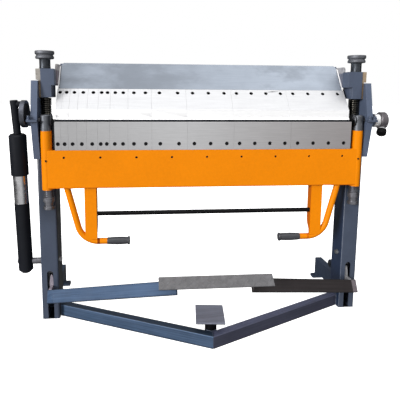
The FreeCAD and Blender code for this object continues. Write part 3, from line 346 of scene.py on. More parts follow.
def galvanised(name, c):
    """Sheet with soft spangle, faint rolling lines and a cooler, lighter right end that is painted reflection."""
    m = Mat(name, metallic=0.75, rough=0.42, spec=0.5, aniso=0.2)
    sp = m.voronoi(34, "SMOOTH_F1", "Color")
    bw = m.node("ShaderNodeRGBToBW")
    m.nt.links.new(sp, bw.inputs[0])
    roll = m.noise(3, 3, 0.6, stretch=(60, 1, 1))
    cloud = m.noise(170, 5, 0.62, stretch=(1.5, 1, 0.7))
    x = m.xyz()[0]
    # painted reflection: the sheet lightens from left to right
    g = m.remap(x, -0.45, 0.62, 0, 1, smooth=True)
    base = m.mix(g, shade(c, 0.72), shade(c, 1.42))
    col = m.mix(m.remap(bw.outputs[0], 0.2, 0.8, 0, 0.22), base, shade(c, 0.72))
    col = m.mix(m.remap(cloud, 0.44, 0.62, 0, 0.55), col, shade(c, 1.3))
    col = m.mix(m.remap(cloud, 0.46, 0.34, 0, 0.5), col, shade(c, 0.62))
    col = m.mix(m.remap(roll, 0.45, 0.75, 0, 0.22), col, shade(c, 0.6))
    # painted edge highlight: edges lightened towards white
    col = m.mix(m.math("MULTIPLY", m.edges(0.8, 0.03, 0.3), 0.3), col, (0.9, 0.92, 0.95, 1))
    # the folded end strips are bare and painted bright as an edge highlight, with a dark joint beside them
    out = m.math("ABSOLUTE", m.math("SUBTRACT", x, OX * 0.001))
    strip = m.remap(out, 0.6284, 0.6290, 0, 1)
    col = m.mix(strip, col, (0.86, 0.86, 0.88, 1))
    col = m.mix(m.math("MULTIPLY", m.remap(out, 0.6262, 0.6270, 0, 1), m.math("SUBTRACT", 1.0, strip)), col, (0.05, 0.05, 0.06, 1))
    m.wire(m.remap(strip, 0, 1, 0.75, 0.1), m.b.inputs["Metallic"])
    m.color(col)
    m.roughness(m.remap(cloud, 0.3, 0.7, 0.34, 0.52))
    m.bump([(roll, 0.2, 0.05), (m.noise(120, 2, 0.5), 0.2, 0.8)])
    return m.m


def end_plate(name):
    """Sawn plate: slate below, bare towards the top, pale rubbed edges that are partly a painted highlight."""
    m = Mat(name, metallic=0.15, rough=0.5)
    x, y, z = m.xyz()
    fine = m.noise(3, 4, 0.65)
    patch = m.noise(26, 4, 0.6)
    left = m.remap(x, -0.1, 0.1, 1, 0)
    low = m.mix(left, shade(srgb(92, 97, 112), 0.9), srgb(128, 118, 128))
    high = m.mix(m.remap(patch, 0.35, 0.65, 0, 1), srgb(178, 172, 170), srgb(205, 203, 203))
    high = m.mix(left, m.mix(1.0, high, (0.62, 0.64, 0.67, 1), "MULTIPLY"), high)
    col = m.mix(m.remap(z, 1.094, 1.101, 0, 1), low, high)
    col = m.mix(m.remap(fine, 0.45, 0.7, 0, 0.3), col, srgb(90, 86, 96))
    # pale edges: partly rubbed, partly a painted edge highlight
    col = m.mix(m.math("MULTIPLY", m.edges(1.6, 0.02, 0.25), 0.75), col, (0.80, 0.80, 0.83, 1))
    m.color(col)
    m.roughness(m.remap(patch, 0.3, 0.7, 0.42, 0.6))
    m.bump([(fine, 0.3, 0.06)])
    return m.m


def cast(name, c):
    m = Mat(name, metallic=0.25, rough=0.62)
    grain = m.noise(1.8, 4, 0.65)
    patch = m.noise(22, 4, 0.6)
    col = m.mix(m.remap(patch, 0.35, 0.68, 0, 1), shade(c, 0.7), shade(c, 1.12))
    col = m.mix(m.remap(grain, 0.46, 0.7, 0, 0.55), col, (0.16, 0.14, 0.12, 1))
    # the right block is warmer than the left one
    col = m.mix(m.remap(m.xyz()[0], -0.1, 0.1, 0, 1), col, m.mix(1.0, col, (0.98, 0.78, 0.56, 1), "MULTIPLY"))
    # painted edge highlight: edges lightened a little
    col = m.mix(m.math("MULTIPLY", m.edges(0.9), 0.2), col, (0.7, 0.66, 0.6, 1))
    # painted shade: below about 1.05 m the shoe is darkened to brown, for the occluded lower strip
    painted_low_shade = m.remap(m.xyz()[2], 1.056, 1.050, 0, 0.85)
    col = m.mix(painted_low_shade, col, m.mix(m.remap(patch, 0.35, 0.65, 0, 1), (0.085, 0.055, 0.030, 1), (0.20, 0.135, 0.07, 1)))
    m.color(col)
    m.roughness(m.remap(grain, 0.3, 0.7, 0.5, 0.75))
    m.bump([(grain, 0.5, 0.15), (m.voronoi(3.5), 0.15, 0.2)])
    return m.m


def plastic(name, c, rough=0.36, spec=0.5):
    m = Mat(name, rough=rough, spec=spec)
    grain = m.noise(0.9, 2, 0.5)
    hand = m.noise(14, 4, 0.6)
    col = m.mix(m.remap(hand, 0.35, 0.7, 0, 1), shade(c, 0.85), shade(c, 1.3))
    # painted edge highlight: edges lightened to four times the colour
    col = m.mix(m.math("MULTIPLY", m.edges(0.8), 0.25), col, shade(c, 4.0))
    m.color(col)
    m.roughness(m.remap(hand, 0.3, 0.7, rough - 0.06, rough + 0.14))
    m.bump([(grain, 0.22, 0.05)])
    return m.m


def lever(name):
    """Bare lever plate behind the slot of each column, painted towards the pivot."""
    m = Mat(name, metallic=0.2, rough=0.5)
    x, y, z = m.xyz()
    fine = m.noise(2.5, 4, 0.6, stretch=(1, 1, 12))
    patch = m.noise(16, 4, 0.6)
    bare = m.mix(m.remap(x, -0.1, 0.1, 0, 1), srgb(142, 134, 146), srgb(138, 140, 142))
    bare = m.mix(m.remap(fine, 0.4, 0.65, 0, 0.45), bare, srgb(96, 92, 102))
    bare = m.mix(m.remap(patch, 0.45, 0.65, 0, 0.35), bare, srgb(170, 165, 172))
    col = m.mix(m.remap(y, -0.013, -0.010, 0, 1), bare, shade(srgb(50, 58, 74), 0.6))
    m.color(col)
    m.roughness(m.remap(patch, 0.3, 0.7, 0.42, 0.6))
    m.bump([(fine, 0.25, 0.06)])
    return m.m


def rubber(name, c):
    m = Mat(name, rough=0.34, spec=0.6, sheen=0.05)
    grain = m.noise(0.7, 3, 0.6)
    dusty = m.noise(11, 4, 0.65)
    col = m.mix(m.remap(dusty, 0.4, 0.7, 0, 0.6), shade(c, 0.9), shade(c, 1.45))
    m.color(col)
    m.roughness(m.remap(dusty, 0.3, 0.7, 0.28, 0.46))
    m.bump([(grain, 0.2, 0.06)])
    return m.m


SLATE = srgb(68, 77, 95)
# into the upper facet of a finger, and that facet's distance along it
FN = (0.0, 0.76604, -0.64279)
FD0 = 0.76604 * (OY + 9.0) * 0.001 - 0.64279 * (HB + 43.0) * 0.001
MT = {
    "slate_paint": paint("slate_powder_coat", shade(SLATE, 0.93)),
    # the blue-grey and near-black paints are a lit copy and a shaded copy of one paint, painted light
    "blue_grey_paint": paint("blue_grey_powder_coat", shade(srgb(86, 104, 130), 0.6)),
    "dark_paint": paint("near_black_paint", srgb(40, 35, 36), rough=0.42, spec=0.2),
    "orange_paint": paint("orange_powder_coat", (0.65, 0.187, 0.0006, 1), rough=0.36, worn=(0.50, 0.24, 0.06, 1), wear=0.2, dark=0.97, light=1.03, peel=0.12, dust=0.0, spec=0.08,
                          slabs=((OX - 469.5 - 0.7, OX - 460, (0.30, 0.18, 0.12, 1)), (OX + 460, OX + 469.5 + 0.7, (0.78, 0.60, 0.45, 1)))),
    "galvanised": galvanised("galvanised_sheet", shade(srgb(172, 181, 194), 0.62)),
    # the fingers' upper facet is darkened and their screw-hole walls are painted near-black, both as painted shade
    "ground_steel": brushed("ground_steel_fingers", (0.93, 0.93, 0.94, 1), rough=0.42, along="X", grain=0.12, vary=0.03, islands=0.03, blotch=0.02, painted_edge_highlight=0.0, metallic=0.5, aniso=0.1,
                            facet=(0.930, 0.936, (0.64, 0.645, 0.655, 1)), holes=(FN, FD0 + 0.0006, FD0 + 0.0095, 0.990, 1.0118)),
    "bright_steel": turned("bright_turned_steel", (0.62, 0.62, 0.63, 1), rough=0.24, dark=0.8),
    "dark_steel": turned("blackened_steel", (0.085, 0.088, 0.098, 1), rough=0.34, rust=0.15),
    "spring_steel": turned("oiled_spring_steel", (0.085, 0.080, 0.070, 1), rough=0.17, painted_edge_highlight=0.0, metallic=1.0),
    "cast_shoe": cast("cast_guide_shoe", srgb(150, 146, 140)),
    "black_plastic": plastic("black_moulded_plastic", (0.003, 0.003, 0.0035, 1), rough=0.4, spec=0.08),
    "grip_rubber": rubber("grip_rubber", srgb(46, 47, 52)),
    "chrome_tube": turned("plated_tube", (0.66, 0.66, 0.68, 1), rough=0.2, dark=0.9),
}
# blades: painted reflection dims them towards the right, painted shade darkens the left end, and the top edge is
# painted near-black as the shadow of the gap under the fingers
BLADE = brushed("ground_steel_blades", (0.60, 0.60, 0.61, 1), rough=0.36, along="X", grain=0.35, vary=0.08, islands=0.08, blotch=0.10, aniso=0.3, painted_edge_highlight=0.0, painted_reflection_falloff=(-0.05, 0.60, (0.76, 0.72, 0.71, 1)), left=(-0.58, -0.10, 0.72), top_dark=(0.8838, 0.8846))
SCREW = turned("black_oxide_screw", (0.022, 0.022, 0.024, 1), rough=0.4, painted_edge_highlight=0.03)
GALV_SCREW = turned("zinc_screw", (0.45, 0.46, 0.47, 1), rough=0.3)
ENAMEL = paint("black_enamel", (0.0065, 0.0075, 0.0105, 1), rough=0.42, spec=0.14, wear=0.1, peel=0.1, dust=0.0, lift=0.1)
TREAD = turned("tread_steel", shade(srgb(130, 130, 133), 0.60), rough=0.46, metallic=0.6, dark=0.75, painted_edge_highlight=0.15)
TREAD_TOP = turned("tread_steel_rubbed", shade(srgb(132, 132, 135), 0.62), rough=0.44, metallic=0.6, dark=0.8, painted_edge_highlight=0.06)
BLACKD = plastic("blackened_disc", (0.006, 0.006, 0.007, 1), rough=0.4, spec=0.2)
RING = brushed("graduated_ring_satin", (0.95, 0.95, 0.96, 1), rough=0.34, along="X", grain=0.15, vary=0.04, painted_edge_highlight=0.2, blotch=0.03, metallic=0.7)
DISC = turned("stop_disc_steel", srgb(104, 100, 104), rough=0.5, metallic=0.85, dark=0.75, painted_edge_highlight=0.6)
CRANK = turned("crank_disc_steel", srgb(100, 103, 112), rough=0.26, metallic=0.9, dark=0.65, painted_edge_highlight=0.8)
EYE = turned("eye_block_steel", srgb(104, 107, 113), rough=0.36, metallic=0.85, dark=0.7, painted_edge_highlight=0.5)
KNOB = turned("blackened_knob", srgb(96, 98, 104), rough=0.5, metallic=0.55, dark=0.8, painted_edge_highlight=0.25)
STEM = turned("blackened_knob_stem", srgb(66, 70, 76), rough=0.34, metallic=0.85, dark=0.7, painted_edge_highlight=0.2)
TIE = turned("tie_rod_steel", (0.013, 0.013, 0.014, 1), rough=0.2, metallic=1.0, painted_edge_highlight=0.0, dark=0.9)
STUB = turned("stub_pin_steel", (0.17, 0.17, 0.19, 1), rough=0.3, metallic=0.8, painted_edge_highlight=0.1)
COLLAR = turned("adjusting_collar_steel", (0.19, 0.19, 0.21, 1), rough=0.3, metallic=0.85, painted_edge_highlight=0.35)
LEVER = lever("lever_plate_steel")
APRON = paint("orange_powder_coat_apron", (0.65, 0.187, 0.0006, 1), rough=0.36, worn=(0.50, 0.24, 0.06, 1), wear=0.2, dark=0.97, light=1.03, peel=0.12, dust=0.0, spec=0.08,
              bands=(((0, 0, -1), -609.5, -607.0, (0.72, 0.60, 0.5, 1)),))
INK = plastic("engraved_mark", (0.01, 0.01, 0.01, 1), rough=0.6)
BEAD = turned("painted_weld_bead", shade(SLATE, 0.8), rough=0.42, metallic=0.1, painted_edge_highlight=0.0)
BEAD_O = turned("painted_weld_bead_orange", (0.55, 0.15, 0.002, 1), rough=0.42, metallic=0.0, painted_edge_highlight=0.0, dark=0.9)
# stop pad: darkened below about 101.5 mm as painted shade along its lower edge, with a painted edge highlight from
# lift
PAD = paint("pad_plate_paint", srgb(104, 107, 120), rough=0.45, spec=0.3, along=(1, 0.1, 0), streak=0.3, lift=0.3, bands=(((0, 0, -1), -103.5, -101.5, 0.22),))
# columns: the slate paint scaled darker as painted shade; each inner face painted darker (bluish on the right) as the
# shade between the columns, the slot bottom near-black as shade inside it, and the column darker from about half a
# metre up
COLUMN_L = paint("slate_powder_coat_column_left", shade(SLATE, 0.74), bands=(((1, 0, 0), OX - 635 - 13.0, OX - 635 - 12.2, 0.22), ((0, 0, 1), 430, 520, 0.6)), slabs=((OX - 635 - 61.5, OX - 635 - 35, (0.06, 0.06, 0.06, 1), 0, 4.3),))
COLUMN_R = paint("slate_powder_coat_column_right", shade(SLATE, 0.74), bands=(((-1, 0, 0), -OX - 635 - 13.0, -OX - 635 - 12.2, (0.30, 0.42, 0.62, 1)), ((0, 0, 1), 540, 620, 0.75)), slabs=((OX + 635 + 35, OX + 635 + 61.5, (0.06, 0.06, 0.06, 1), 0, 4.3),))
# bearing plates: the same slate paint scaled lighter as painted light
PLATE = paint("slate_powder_coat_plates", shade(SLATE, 1.28))
FOOT = paint("slate_powder_coat_feet", shade(srgb(48, 60, 80), 0.8))
# bed beam: the same slate paint darkened almost to black as painted shadow
BED = paint("slate_powder_coat_bed_painted_shadow", shade(SLATE, 0.16))
# floor beams: one paint as a lit left copy and a shaded right copy, painted light; painted shade along the foot, a
# painted highlight line below the top edge, and the top face darkened on the left and lightened on the right
BEAM_L = paint("floor_beam_paint_painted_lit", shade(srgb(78, 100, 130), 0.50), along=(646, -318, 0), streak=0.4, lift=0.8, bands=(((0, 0, -1), -7, -3, 0.35), ((0, 0, 1), 49.9, 50.6, 1.9), ((0, 0, 1), 52.2, 52.8, 0.22)))
BEAM_R = paint("floor_beam_paint_painted_shade", shade(srgb(66, 68, 84), 0.78), along=(646, 318, 0), streak=0.3, lift=0.6, bands=(((0, 0, -1), -7, -3, 0.5), ((0, 0, 1), 49.9, 50.6, 1.9), ((0, 0, 1), 52.2, 52.8, (0.85, 0.88, 0.95, 1))))
PW = (0.0, 0.5, 0.8660254)
W0 = 0.5 * (OY - 53.0) + 0.8660254 * 114.0
# pedal arms: one paint as a lit left copy and a shaded right copy, painted light; painted shade along the top and
# bottom edges, and on the right the end block beyond x is lightened
ARM_L = paint("pedal_arm_paint_painted_lit", shade(srgb(79, 101, 132), 0.56), along=(0.9195, -0.3405, 0.1966), streak=0.3, lift=0.1, spec=0.07, rough=0.5,
              bands=((PW, W0 + 52.0, W0 + 54.5, 0.4), ((0, -0.5, -0.8660254), -W0 - 4.0, -W0 - 1.5, 0.3)))
ARM_R = paint("pedal_arm_paint_painted_shade", srgb(42, 38, 39), rough=0.42, spec=0.22, along=(-0.9195, -0.3405, 0.1966), streak=0.35, lift=0.1,
              bands=((PW, W0 + 52.0, W0 + 54.5, 0.4), ((0, -0.5, -0.8660254), -W0 - 4.0, -W0 - 1.5, 0.4), ((1, 0, 0), OX + 635 + 38, OX + 635 + 40, (4.2, 4.3, 4.6, 1))))

OWN = {
    "lower_blades": BLADE, "finger_screws": SCREW, "blade_screws": SCREW, "set_screws": SCREW,
    "strut_sleeve": ENAMEL, "strut_rod": ENAMEL, "strut_outer_tube": ENAMEL, "strut_stub_pin": STUB,
    "tread_plate": TREAD, "crank_rear_disc": BLACKD, "crank_disc": CRANK, "graduated_ring": RING, "stop_disc": DISC,
    "stop_pad": PAD, "column_bolts": GALV_SCREW, "eye_rods": EYE, "tie_rod": TIE, "adjusting_collars": COLLAR,
    "column_left": COLUMN_L, "column_right": COLUMN_R, "bearing_plate_left": PLATE, "bearing_plate_right": PLATE,
    "rear_foot_left": FOOT, "rear_foot_right": FOOT, "pedal_pivot_lugs": FOOT, "pedal_pivot_pins": STEM,
    "floor_beam_left": BEAM_L, "floor_beam_right": BEAM_R, "pedal_arm_left": ARM_L, "pedal_arm_right": ARM_R,
    "lever_plate_left": LEVER, "lever_plate_right": LEVER, "bed_beam": BED, "clamp_end_plates": end_plate("clamp_end_plate_steel"),
    "folding_apron": APRON,
}
for name in OWN:
    if name not in N:
        raise RuntimeError("no node " + name)
for name, ob in N.items():
    mat = OWN.get(name) or MT[SLOT_OF[name]]
    if not ob.material_slots:
        ob.data.materials.append(mat)
    for s in ob.material_slots:
        s.link = "OBJECT"
        s.material = mat


def soften(ob, width=0.8, angle=28, segments=2):
    """Broken edges on a CAD solid, by modifiers only."""
    w = ob.modifiers.new("weld", "WELD")
    w.merge_threshold = 1e-6
    b = ob.modifiers.new("bevel", "BEVEL")
    b.width = width * 0.001
    b.segments = segments
    b.limit_method = "ANGLE"
    b.angle_limit = math.radians(angle)
    b.harden_normals = True
    b.use_clamp_overlap = True


SOFT = {
    "column_left": 0.8, "column_right": 0.8, "bearing_plate_left": 1.0, "bearing_plate_right": 1.0, "bed_beam": 1.0,
    "floor_beam_left": 2.5, "floor_beam_right": 2.5, "rear_foot_left": 1.5, "rear_foot_right": 1.5, "clamp_beam": 1.0,
    "clamp_end_plates": 0.8, "end_block_left": 1.0, "end_block_right": 1.0, "guide_shoe_left": 0.6, "guide_shoe_right": 0.6,
    "folding_apron": 0.8, "handle_arms": 1.0, "pedal_arm_left": 1.5, "pedal_arm_right": 1.5, "lever_plate_left": 0.8,
    "lever_plate_right": 0.8, "stop_pad": 1.2, "clamp_front_plate": 0.5, "lower_blades": 0.35, "upper_fingers": 0.35,
    "bearing_saddle_left": 0.4, "bearing_saddle_right": 0.4,
}


# ------------------------------------------------------------- mesh helpers
def add(name, verts, faces, mat, body, sharp=35, replaces=(), ride=True):
    me = bpy.data.meshes.new(name)
    me.from_pydata([tuple(v) for v in verts], [], faces)
    bm = bmesh.new()
    bm.from_mesh(me)
    bmesh.ops.remove_doubles(bm, verts=bm.verts, dist=1e-7)
    bmesh.ops.recalc_face_normals(bm, faces=bm.faces)
    bm.to_mesh(me)
    bm.free()
    me.shade_smooth()
    me.set_sharp_from_angle(angle=math.radians(sharp))
    ob = bpy.data.objects.new(name, me)
    bpy.context.scene.collection.objects.link(ob)
    me.materials.append(mat)
    if replaces:
        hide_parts(*replaces)
    if ride:
        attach(ob, body)
    return ob


def basis(axis):
    w = Vector(axis).normalized()
    a = Vector((0, 0, 1)) if abs(w.z) < 0.9 else Vector((1, 0, 0))
    u = a.cross(w).normalized()
    v = w.cross(u)
    return u, v, w


def lathe(profile, origin, axis, seg=64, closed=False, ripple=None):
    """Turn (radius, distance) mm points round an axis; closed joins the last point to the first."""
    u, v, w = basis(axis)
    o = Vector(origin)
    verts, faces = [], []
    n = len(profile)
    for r, h in profile:
        for k in range(seg):
            t = 2 * math.pi * k / seg
            rr = r * 0.001 if ripple is None else ripple(r, h, k, seg) * 0.001
            verts.append(o + w * (h * 0.001) + (u * math.cos(t) + v * math.sin(t)) * rr)
    for i in range(n if closed else n - 1):
        j = (i + 1) % n
        for k in range(seg):
            l = (k + 1) % seg
            faces.append((i * seg + k, i * seg + l, j * seg + l, j * seg + k))
    if not closed:
        if profile[0][0] > 1e-6:
            faces.append(tuple(range(seg))[::-1])
        if profile[-1][0] > 1e-6:
            faces.append(tuple((n - 1) * seg + k for k in range(seg)))
    return verts, faces


def sweep(points, radius, seg=10, closed=False, squash=1.0):
    """A round bar along points (metres); radius in mm, a number or a function of 0..1."""
    pts = [Vector(p) for p in points]
    n = len(pts)
    verts, faces = [], []
    up = None
    for i, p in enumerate(pts):
        if closed:
            d = pts[(i + 1) % n] - pts[i - 1]
        else:
            d = pts[min(i + 1, n - 1)] - pts[max(i - 1, 0)]
        d.normalize()
        if up is None:
            up = basis(d)[0]
        up = (up - d * up.dot(d)).normalized()
        side = d.cross(up)
        r = (radius(i / max(1, n - 1)) if callable(radius) else radius) * 0.001
        for k in range(seg):
            t = 2 * math.pi * k / seg
            verts.append(p + up * (r * math.cos(t)) + side * (r * math.sin(t) * squash))
    for i in range(n if closed else n - 1):
        j = (i + 1) % n
        for k in range(seg):
            l = (k + 1) % seg
            faces.append((i * seg + k, i * seg + l, j * seg + l, j * seg + k))
    if not closed:
        faces.append(tuple(range(seg))[::-1])
        faces.append(tuple((n - 1) * seg + k for k in range(seg)))
    return verts, faces


def join(parts):
    verts, faces = [], []
    for v, f in parts:
        k = len(verts)
        verts += list(v)
        faces += [tuple(i + k for i in face) for face in f]
    return verts, faces


def bead(a, b, r=3.0, step=2.6, seed=0):
    """A weld bead from a to b (metres): overlapping ripples of a slightly uneven width."""
    a, b = Vector(a), Vector(b)
    length = (b - a).length * 1000
    n = max(6, int(length / (step / 4)))
    pts = [a.lerp(b, i / n) for i in range(n + 1)]

    def rad(t):
        s = t * length
        wob = 0.10 * math.sin(s * 0.31 + seed) + 0.06 * math.sin(s * 0.83 + 2 * seed)
        end = min(1.0, 0.35 + min(t, 1 - t) * length / 4.0)
        return r * end * (0.92 + wob + 0.10 * abs(math.sin(math.pi * s / step)))
    return sweep(pts, rad, 7)


def ring_bead(centre, axis, radius, r=2.6, seed=0, step=2.8, n=None):
    u, v, w = basis(axis)
    c = Vector(centre)
    n = n or int(2 * math.pi * radius / step * 4)
    pts = [c + (u * math.cos(2 * math.pi * i / n) + v * math.sin(2 * math.pi * i / n)) * (radius * 0.001) for i in range(n)]
    count = max(8, round(2 * math.pi * radius / step))

    def rad(t):
        return r * (0.92 + 0.10 * abs(math.sin(math.pi * t * count)) + 0.07 * math.sin(6.28 * t * 3 + seed))
    return sweep(pts, rad, 7, closed=True)


# ------------------------------------------------------------------ springs
def coil(side, name):
    cx, cy, z0, z1 = AX(side, 45), 60.0, 886.6, 982.4
    wire, mean = 3.9, 18.4
    turns, per = 11.4, 28
    n = int(turns * per)
    pts = []
    for i in range(n + 1):
        t = i / n
        # closed ends: the pitch opens after the first three quarters of a turn
        e = 0.75 / turns
        f = (t - e) / (1 - 2 * e)
        f = 0.0 if f < 0 else 1.0 if f > 1 else f
        lift = wire + (2 * wire * 0.75) * (t / e if t < e else 1.0) * 0.5
        top = wire + (2 * wire * 0.75) * ((1 - t) / e if t > 1 - e else 1.0) * 0.5
        z = z0 + lift + f * (z1 - z0 - wire * 2 - 2 * wire * 0.75)
        if t > 1 - e:
            z = z1 - top
        ang = 2 * math.pi * turns * t * side + 0.6
        pts.append(P(cx + mean * math.cos(ang), cy + mean * math.sin(ang), z))
    v, f = sweep(pts, wire, 10)
    ob = add(name + "_coil", v, f, MT["spring_steel"], None, 40, (name,), ride=False)
    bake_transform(ob)


coil(-1, "spring_left")
coil(1, "spring_right")


# ------------------------------------------------------------------- knobs
def knob(side, name):
    z0 = 1101.0
    c = P(AX(side, 45), 60, z0)
    prof = [(10.6, 1.5), (22.5, 1.5), (23.3, 2.3), (23.3, 7.5), (22.6, 8.2), (22.6, 36.0), (23.4, 39.0), (26.5, 40.5),
            (35.4, 41.4), (37.6, 43.2), (38.1, 45.5), (37.8, 49.8), (36.6, 51.8), (34.8, 54.2), (34.1, 56.0), (34.8, 57.8),
            (38.3, 60.3), (39.3, 61.7), (39.6, 63.4), (39.6, 70.6), (38.9, 72.4), (37.4, 73.8), (34.5, 74.0), (33.6, 73.3),
            (32.4, 73.3), (31.6, 74.0), (17.5, 74.0), (16.2, 72.2), (11.8, 72.0), (10.6, 71.0)]
    v, f = lathe(prof, c, (0, 0, 1), 72, closed=True)
    ob = add(name + "_turned", v, f, KNOB, name, 24, (name,))
    ob.data.materials.append(STEM)
    zs = z0 * 0.001 + 0.0395
    for poly in ob.data.polygons:
        if poly.center.z < zs:
            poly.material_index = 1
    return ob


knob(-1, "knob_left")
knob(1, "knob_right")

# ------------------------------------------------------ adjusting collars
# threaded stem with two grooved nuts, round the foot of each eye rod
prof = [(16.4, 0.3), (22.8, 0.3), (24.0, 1.5), (24.0, 5.5), (23.3, 6.2), (24.0, 6.9), (24.0, 12.6), (22.9, 13.8), (18.9, 14.0),
        (18.6, 14.4), (18.6, 31.4), (18.9, 31.8), (22.9, 32.0), (24.0, 33.2), (24.0, 41.5), (23.2, 42.4), (24.0, 43.3), (24.0, 52.6), (22.9, 53.8), (20.4, 54.0)]
for i in range(24):
    prof.append((20.2 if i % 2 else 18.9, 54.8 + i * 1.18))
prof += [(19.6, 83.2), (16.4, 83.4)]
NUTS = []
for side in (-1, 1):
    NUTS.append(lathe(prof, P(AX(side, 35), 0, 513), (0, 0, 1), 48, closed=True))
v, f = join(NUTS)
add("adjusting_nuts", v, f, COLLAR, BODY_OF["adjusting_collars"], 28, ("adjusting_collars",))

# ------------------------------------------------------------------- grips
for side, tag in ((-1, "left"), (1, "right")):
    # from the open inner end towards the bend
    prof = [(0.5, 0.0), (10.0, 0.2), (15.6, 0.9), (18.0, 2.2), (18.6, 4.2), (18.6, 7.4), (17.8, 9.2), (15.4, 10.4)]
    for i in range(46):
        s = 11.0 + i * 1.8
        t = i / 45.0
        bulge = 14.6 + 2.7 * math.sin(math.pi * (0.12 + 0.80 * t))
        prof.append((bulge - (0.55 if i % 2 else 0.0), s))
    prof += [(15.2, 95.0), (14.6, 97.4), (13.6, 98.4)]
    c = P(side * 330.2, 0, 366.5)
    v, f = lathe(prof, c, (side, 0, 0), 40)
    add("grip_" + tag, v, f, MT["grip_rubber"], "folding_beam", 50, ("handle_grips",))

# ----------------------------------------------------- tread plate pattern
TY0, TZ0, TY1, TZ1 = -235.0, 296.5, -276.0, 263.5
TL = math.hypot(TY1 - TY0, TZ1 - TZ0)
TDIR = Vector((0, (TY1 - TY0) / TL, (TZ1 - TZ0) / TL))
TOUT = Vector((0, TDIR.z, -TDIR.y))
if TOUT.z < 0:
    TOUT = -TOUT


def lozenge(cx, cs, ang, length=25.0, width=7.2, high=1.3):
    verts = []
    rings = ((1.0, -0.2), (0.86, 0.62 * high), (0.55, high))
    seg = 14
    for k, h in rings:
        for i in range(seg):
            t = 2 * math.pi * i / seg
            a = math.cos(t)
            b = math.sin(t) * (1 - 0.45 * abs(a) ** 2)
            x, s = a * length / 2 * k, b * width / 2 * k
            px, ps = x * math.cos(ang) - s * math.sin(ang), x * math.sin(ang) + s * math.cos(ang)
            q = Vector(((cx + px), 0, 0)) + Vector((0, TY0, TZ0)) + TDIR * (cs + ps) + TOUT * h
            verts.append(P(q.x, q.y, q.z))
    faces = []
    for r in range(2):
        for i in range(seg):
            j = (i + 1) % seg
            faces.append((r * seg + i, r * seg + j, (r + 1) * seg + j, (r + 1) * seg + i))
    faces.append(tuple(2 * seg + i for i in range(seg)))
    return verts, faces


loz = []
for i in range(20):
    for j in range(3):
        ang = math.radians(45 if (i + j) % 2 else -45)
        loz.append(lozenge(-216 + 14.5 + i * 22.3, 10.3 + j * 16.6, ang))
v, f = join(loz)
add("tread_lozenges", v, f, TREAD_TOP, "pedal", 30)

# --------------------------------------------------- graduated ring marks
marks = []
ring_c = P(AX(1, 107.9), 0, HB)
for d in range(0, 360, 5):
    t = math.radians(d)
    long = 11.0 if d % 30 == 0 else 7.5 if d % 10 == 0 else 4.5
    rad = Vector((0, -math.cos(t), math.sin(t)))
    tan = Vector((0, math.sin(t), math.cos(t)))
    half = (0.42 if d % 30 == 0 else 0.3) * 0.001
    o = ring_c + rad * 0.02950
    x1 = 0.0224 - 0.0011
    x0 = x1 - long * 0.001
    vs = []
    for hh in (-0.00012, 0.00010):
        for x, s in ((x0, -half), (x1, -half), (x1, half), (x0, half)):
            vs.append(o + Vector((x, 0, 0)) + tan * s + rad * hh)
    marks.append((vs, [(0, 1, 2, 3), (4, 5, 6, 7), (0, 1, 5, 4), (1, 2, 6, 5), (2, 3, 7, 6), (3, 0, 4, 7)]))
v, f = join(marks)
add("ring_marks", v, f, INK, "folding_beam", 30)
# plain numbers every thirty degrees
for d in range(0, 360, 30):
    cu = bpy.data.curves.new("digit_%d" % d, "FONT")
    cu.body = str(d)
    cu.size = 0.0052
    cu.extrude = 0.00012
    cu.align_x, cu.align_y = "CENTER", "CENTER"
    tmp = bpy.data.objects.new("digit_tmp", cu)
    bpy.context.scene.collection.objects.link(tmp)
    bpy.context.view_layer.update()
    me = bpy.data.meshes.new_from_object(tmp.evaluated_get(bpy.context.evaluated_depsgraph_get()))
    bpy.data.objects.remove(tmp)
    t = math.radians(d)
    rad = Vector((0, -math.cos(t), math.sin(t)))
    tan = Vector((0, math.sin(t), math.cos(t)))
    o = ring_c + Vector((0.0058, 0, 0))
    for vert in me.vertices:
        # text x runs round the ring, text y along its axis
        a = vert.co.x / 0.0295
        r2 = (rad * math.cos(a) - tan * math.sin(a)) if False else (rad * math.cos(a) + tan * math.sin(a))
        vert.co = o + r2 * (0.0295 + 0.00004 + vert.co.z * 0.6) + Vector((-vert.co.y, 0, 0))
    me.materials.clear()
    me.materials.append(INK)
    ob = bpy.data.objects.new("ring_number_%d" % d, me)
    bpy.context.scene.collection.objects.link(ob)
    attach(ob, "folding_beam")

# index line on the saddle cap
v, f = sweep([P(AX(1, 96), -13.5, HB + 13.5), P(AX(1, 105.6), -13.5, HB + 13.5)], 0.7, 8)
add("hub_index_line", v, f, INK, "frame", 30)

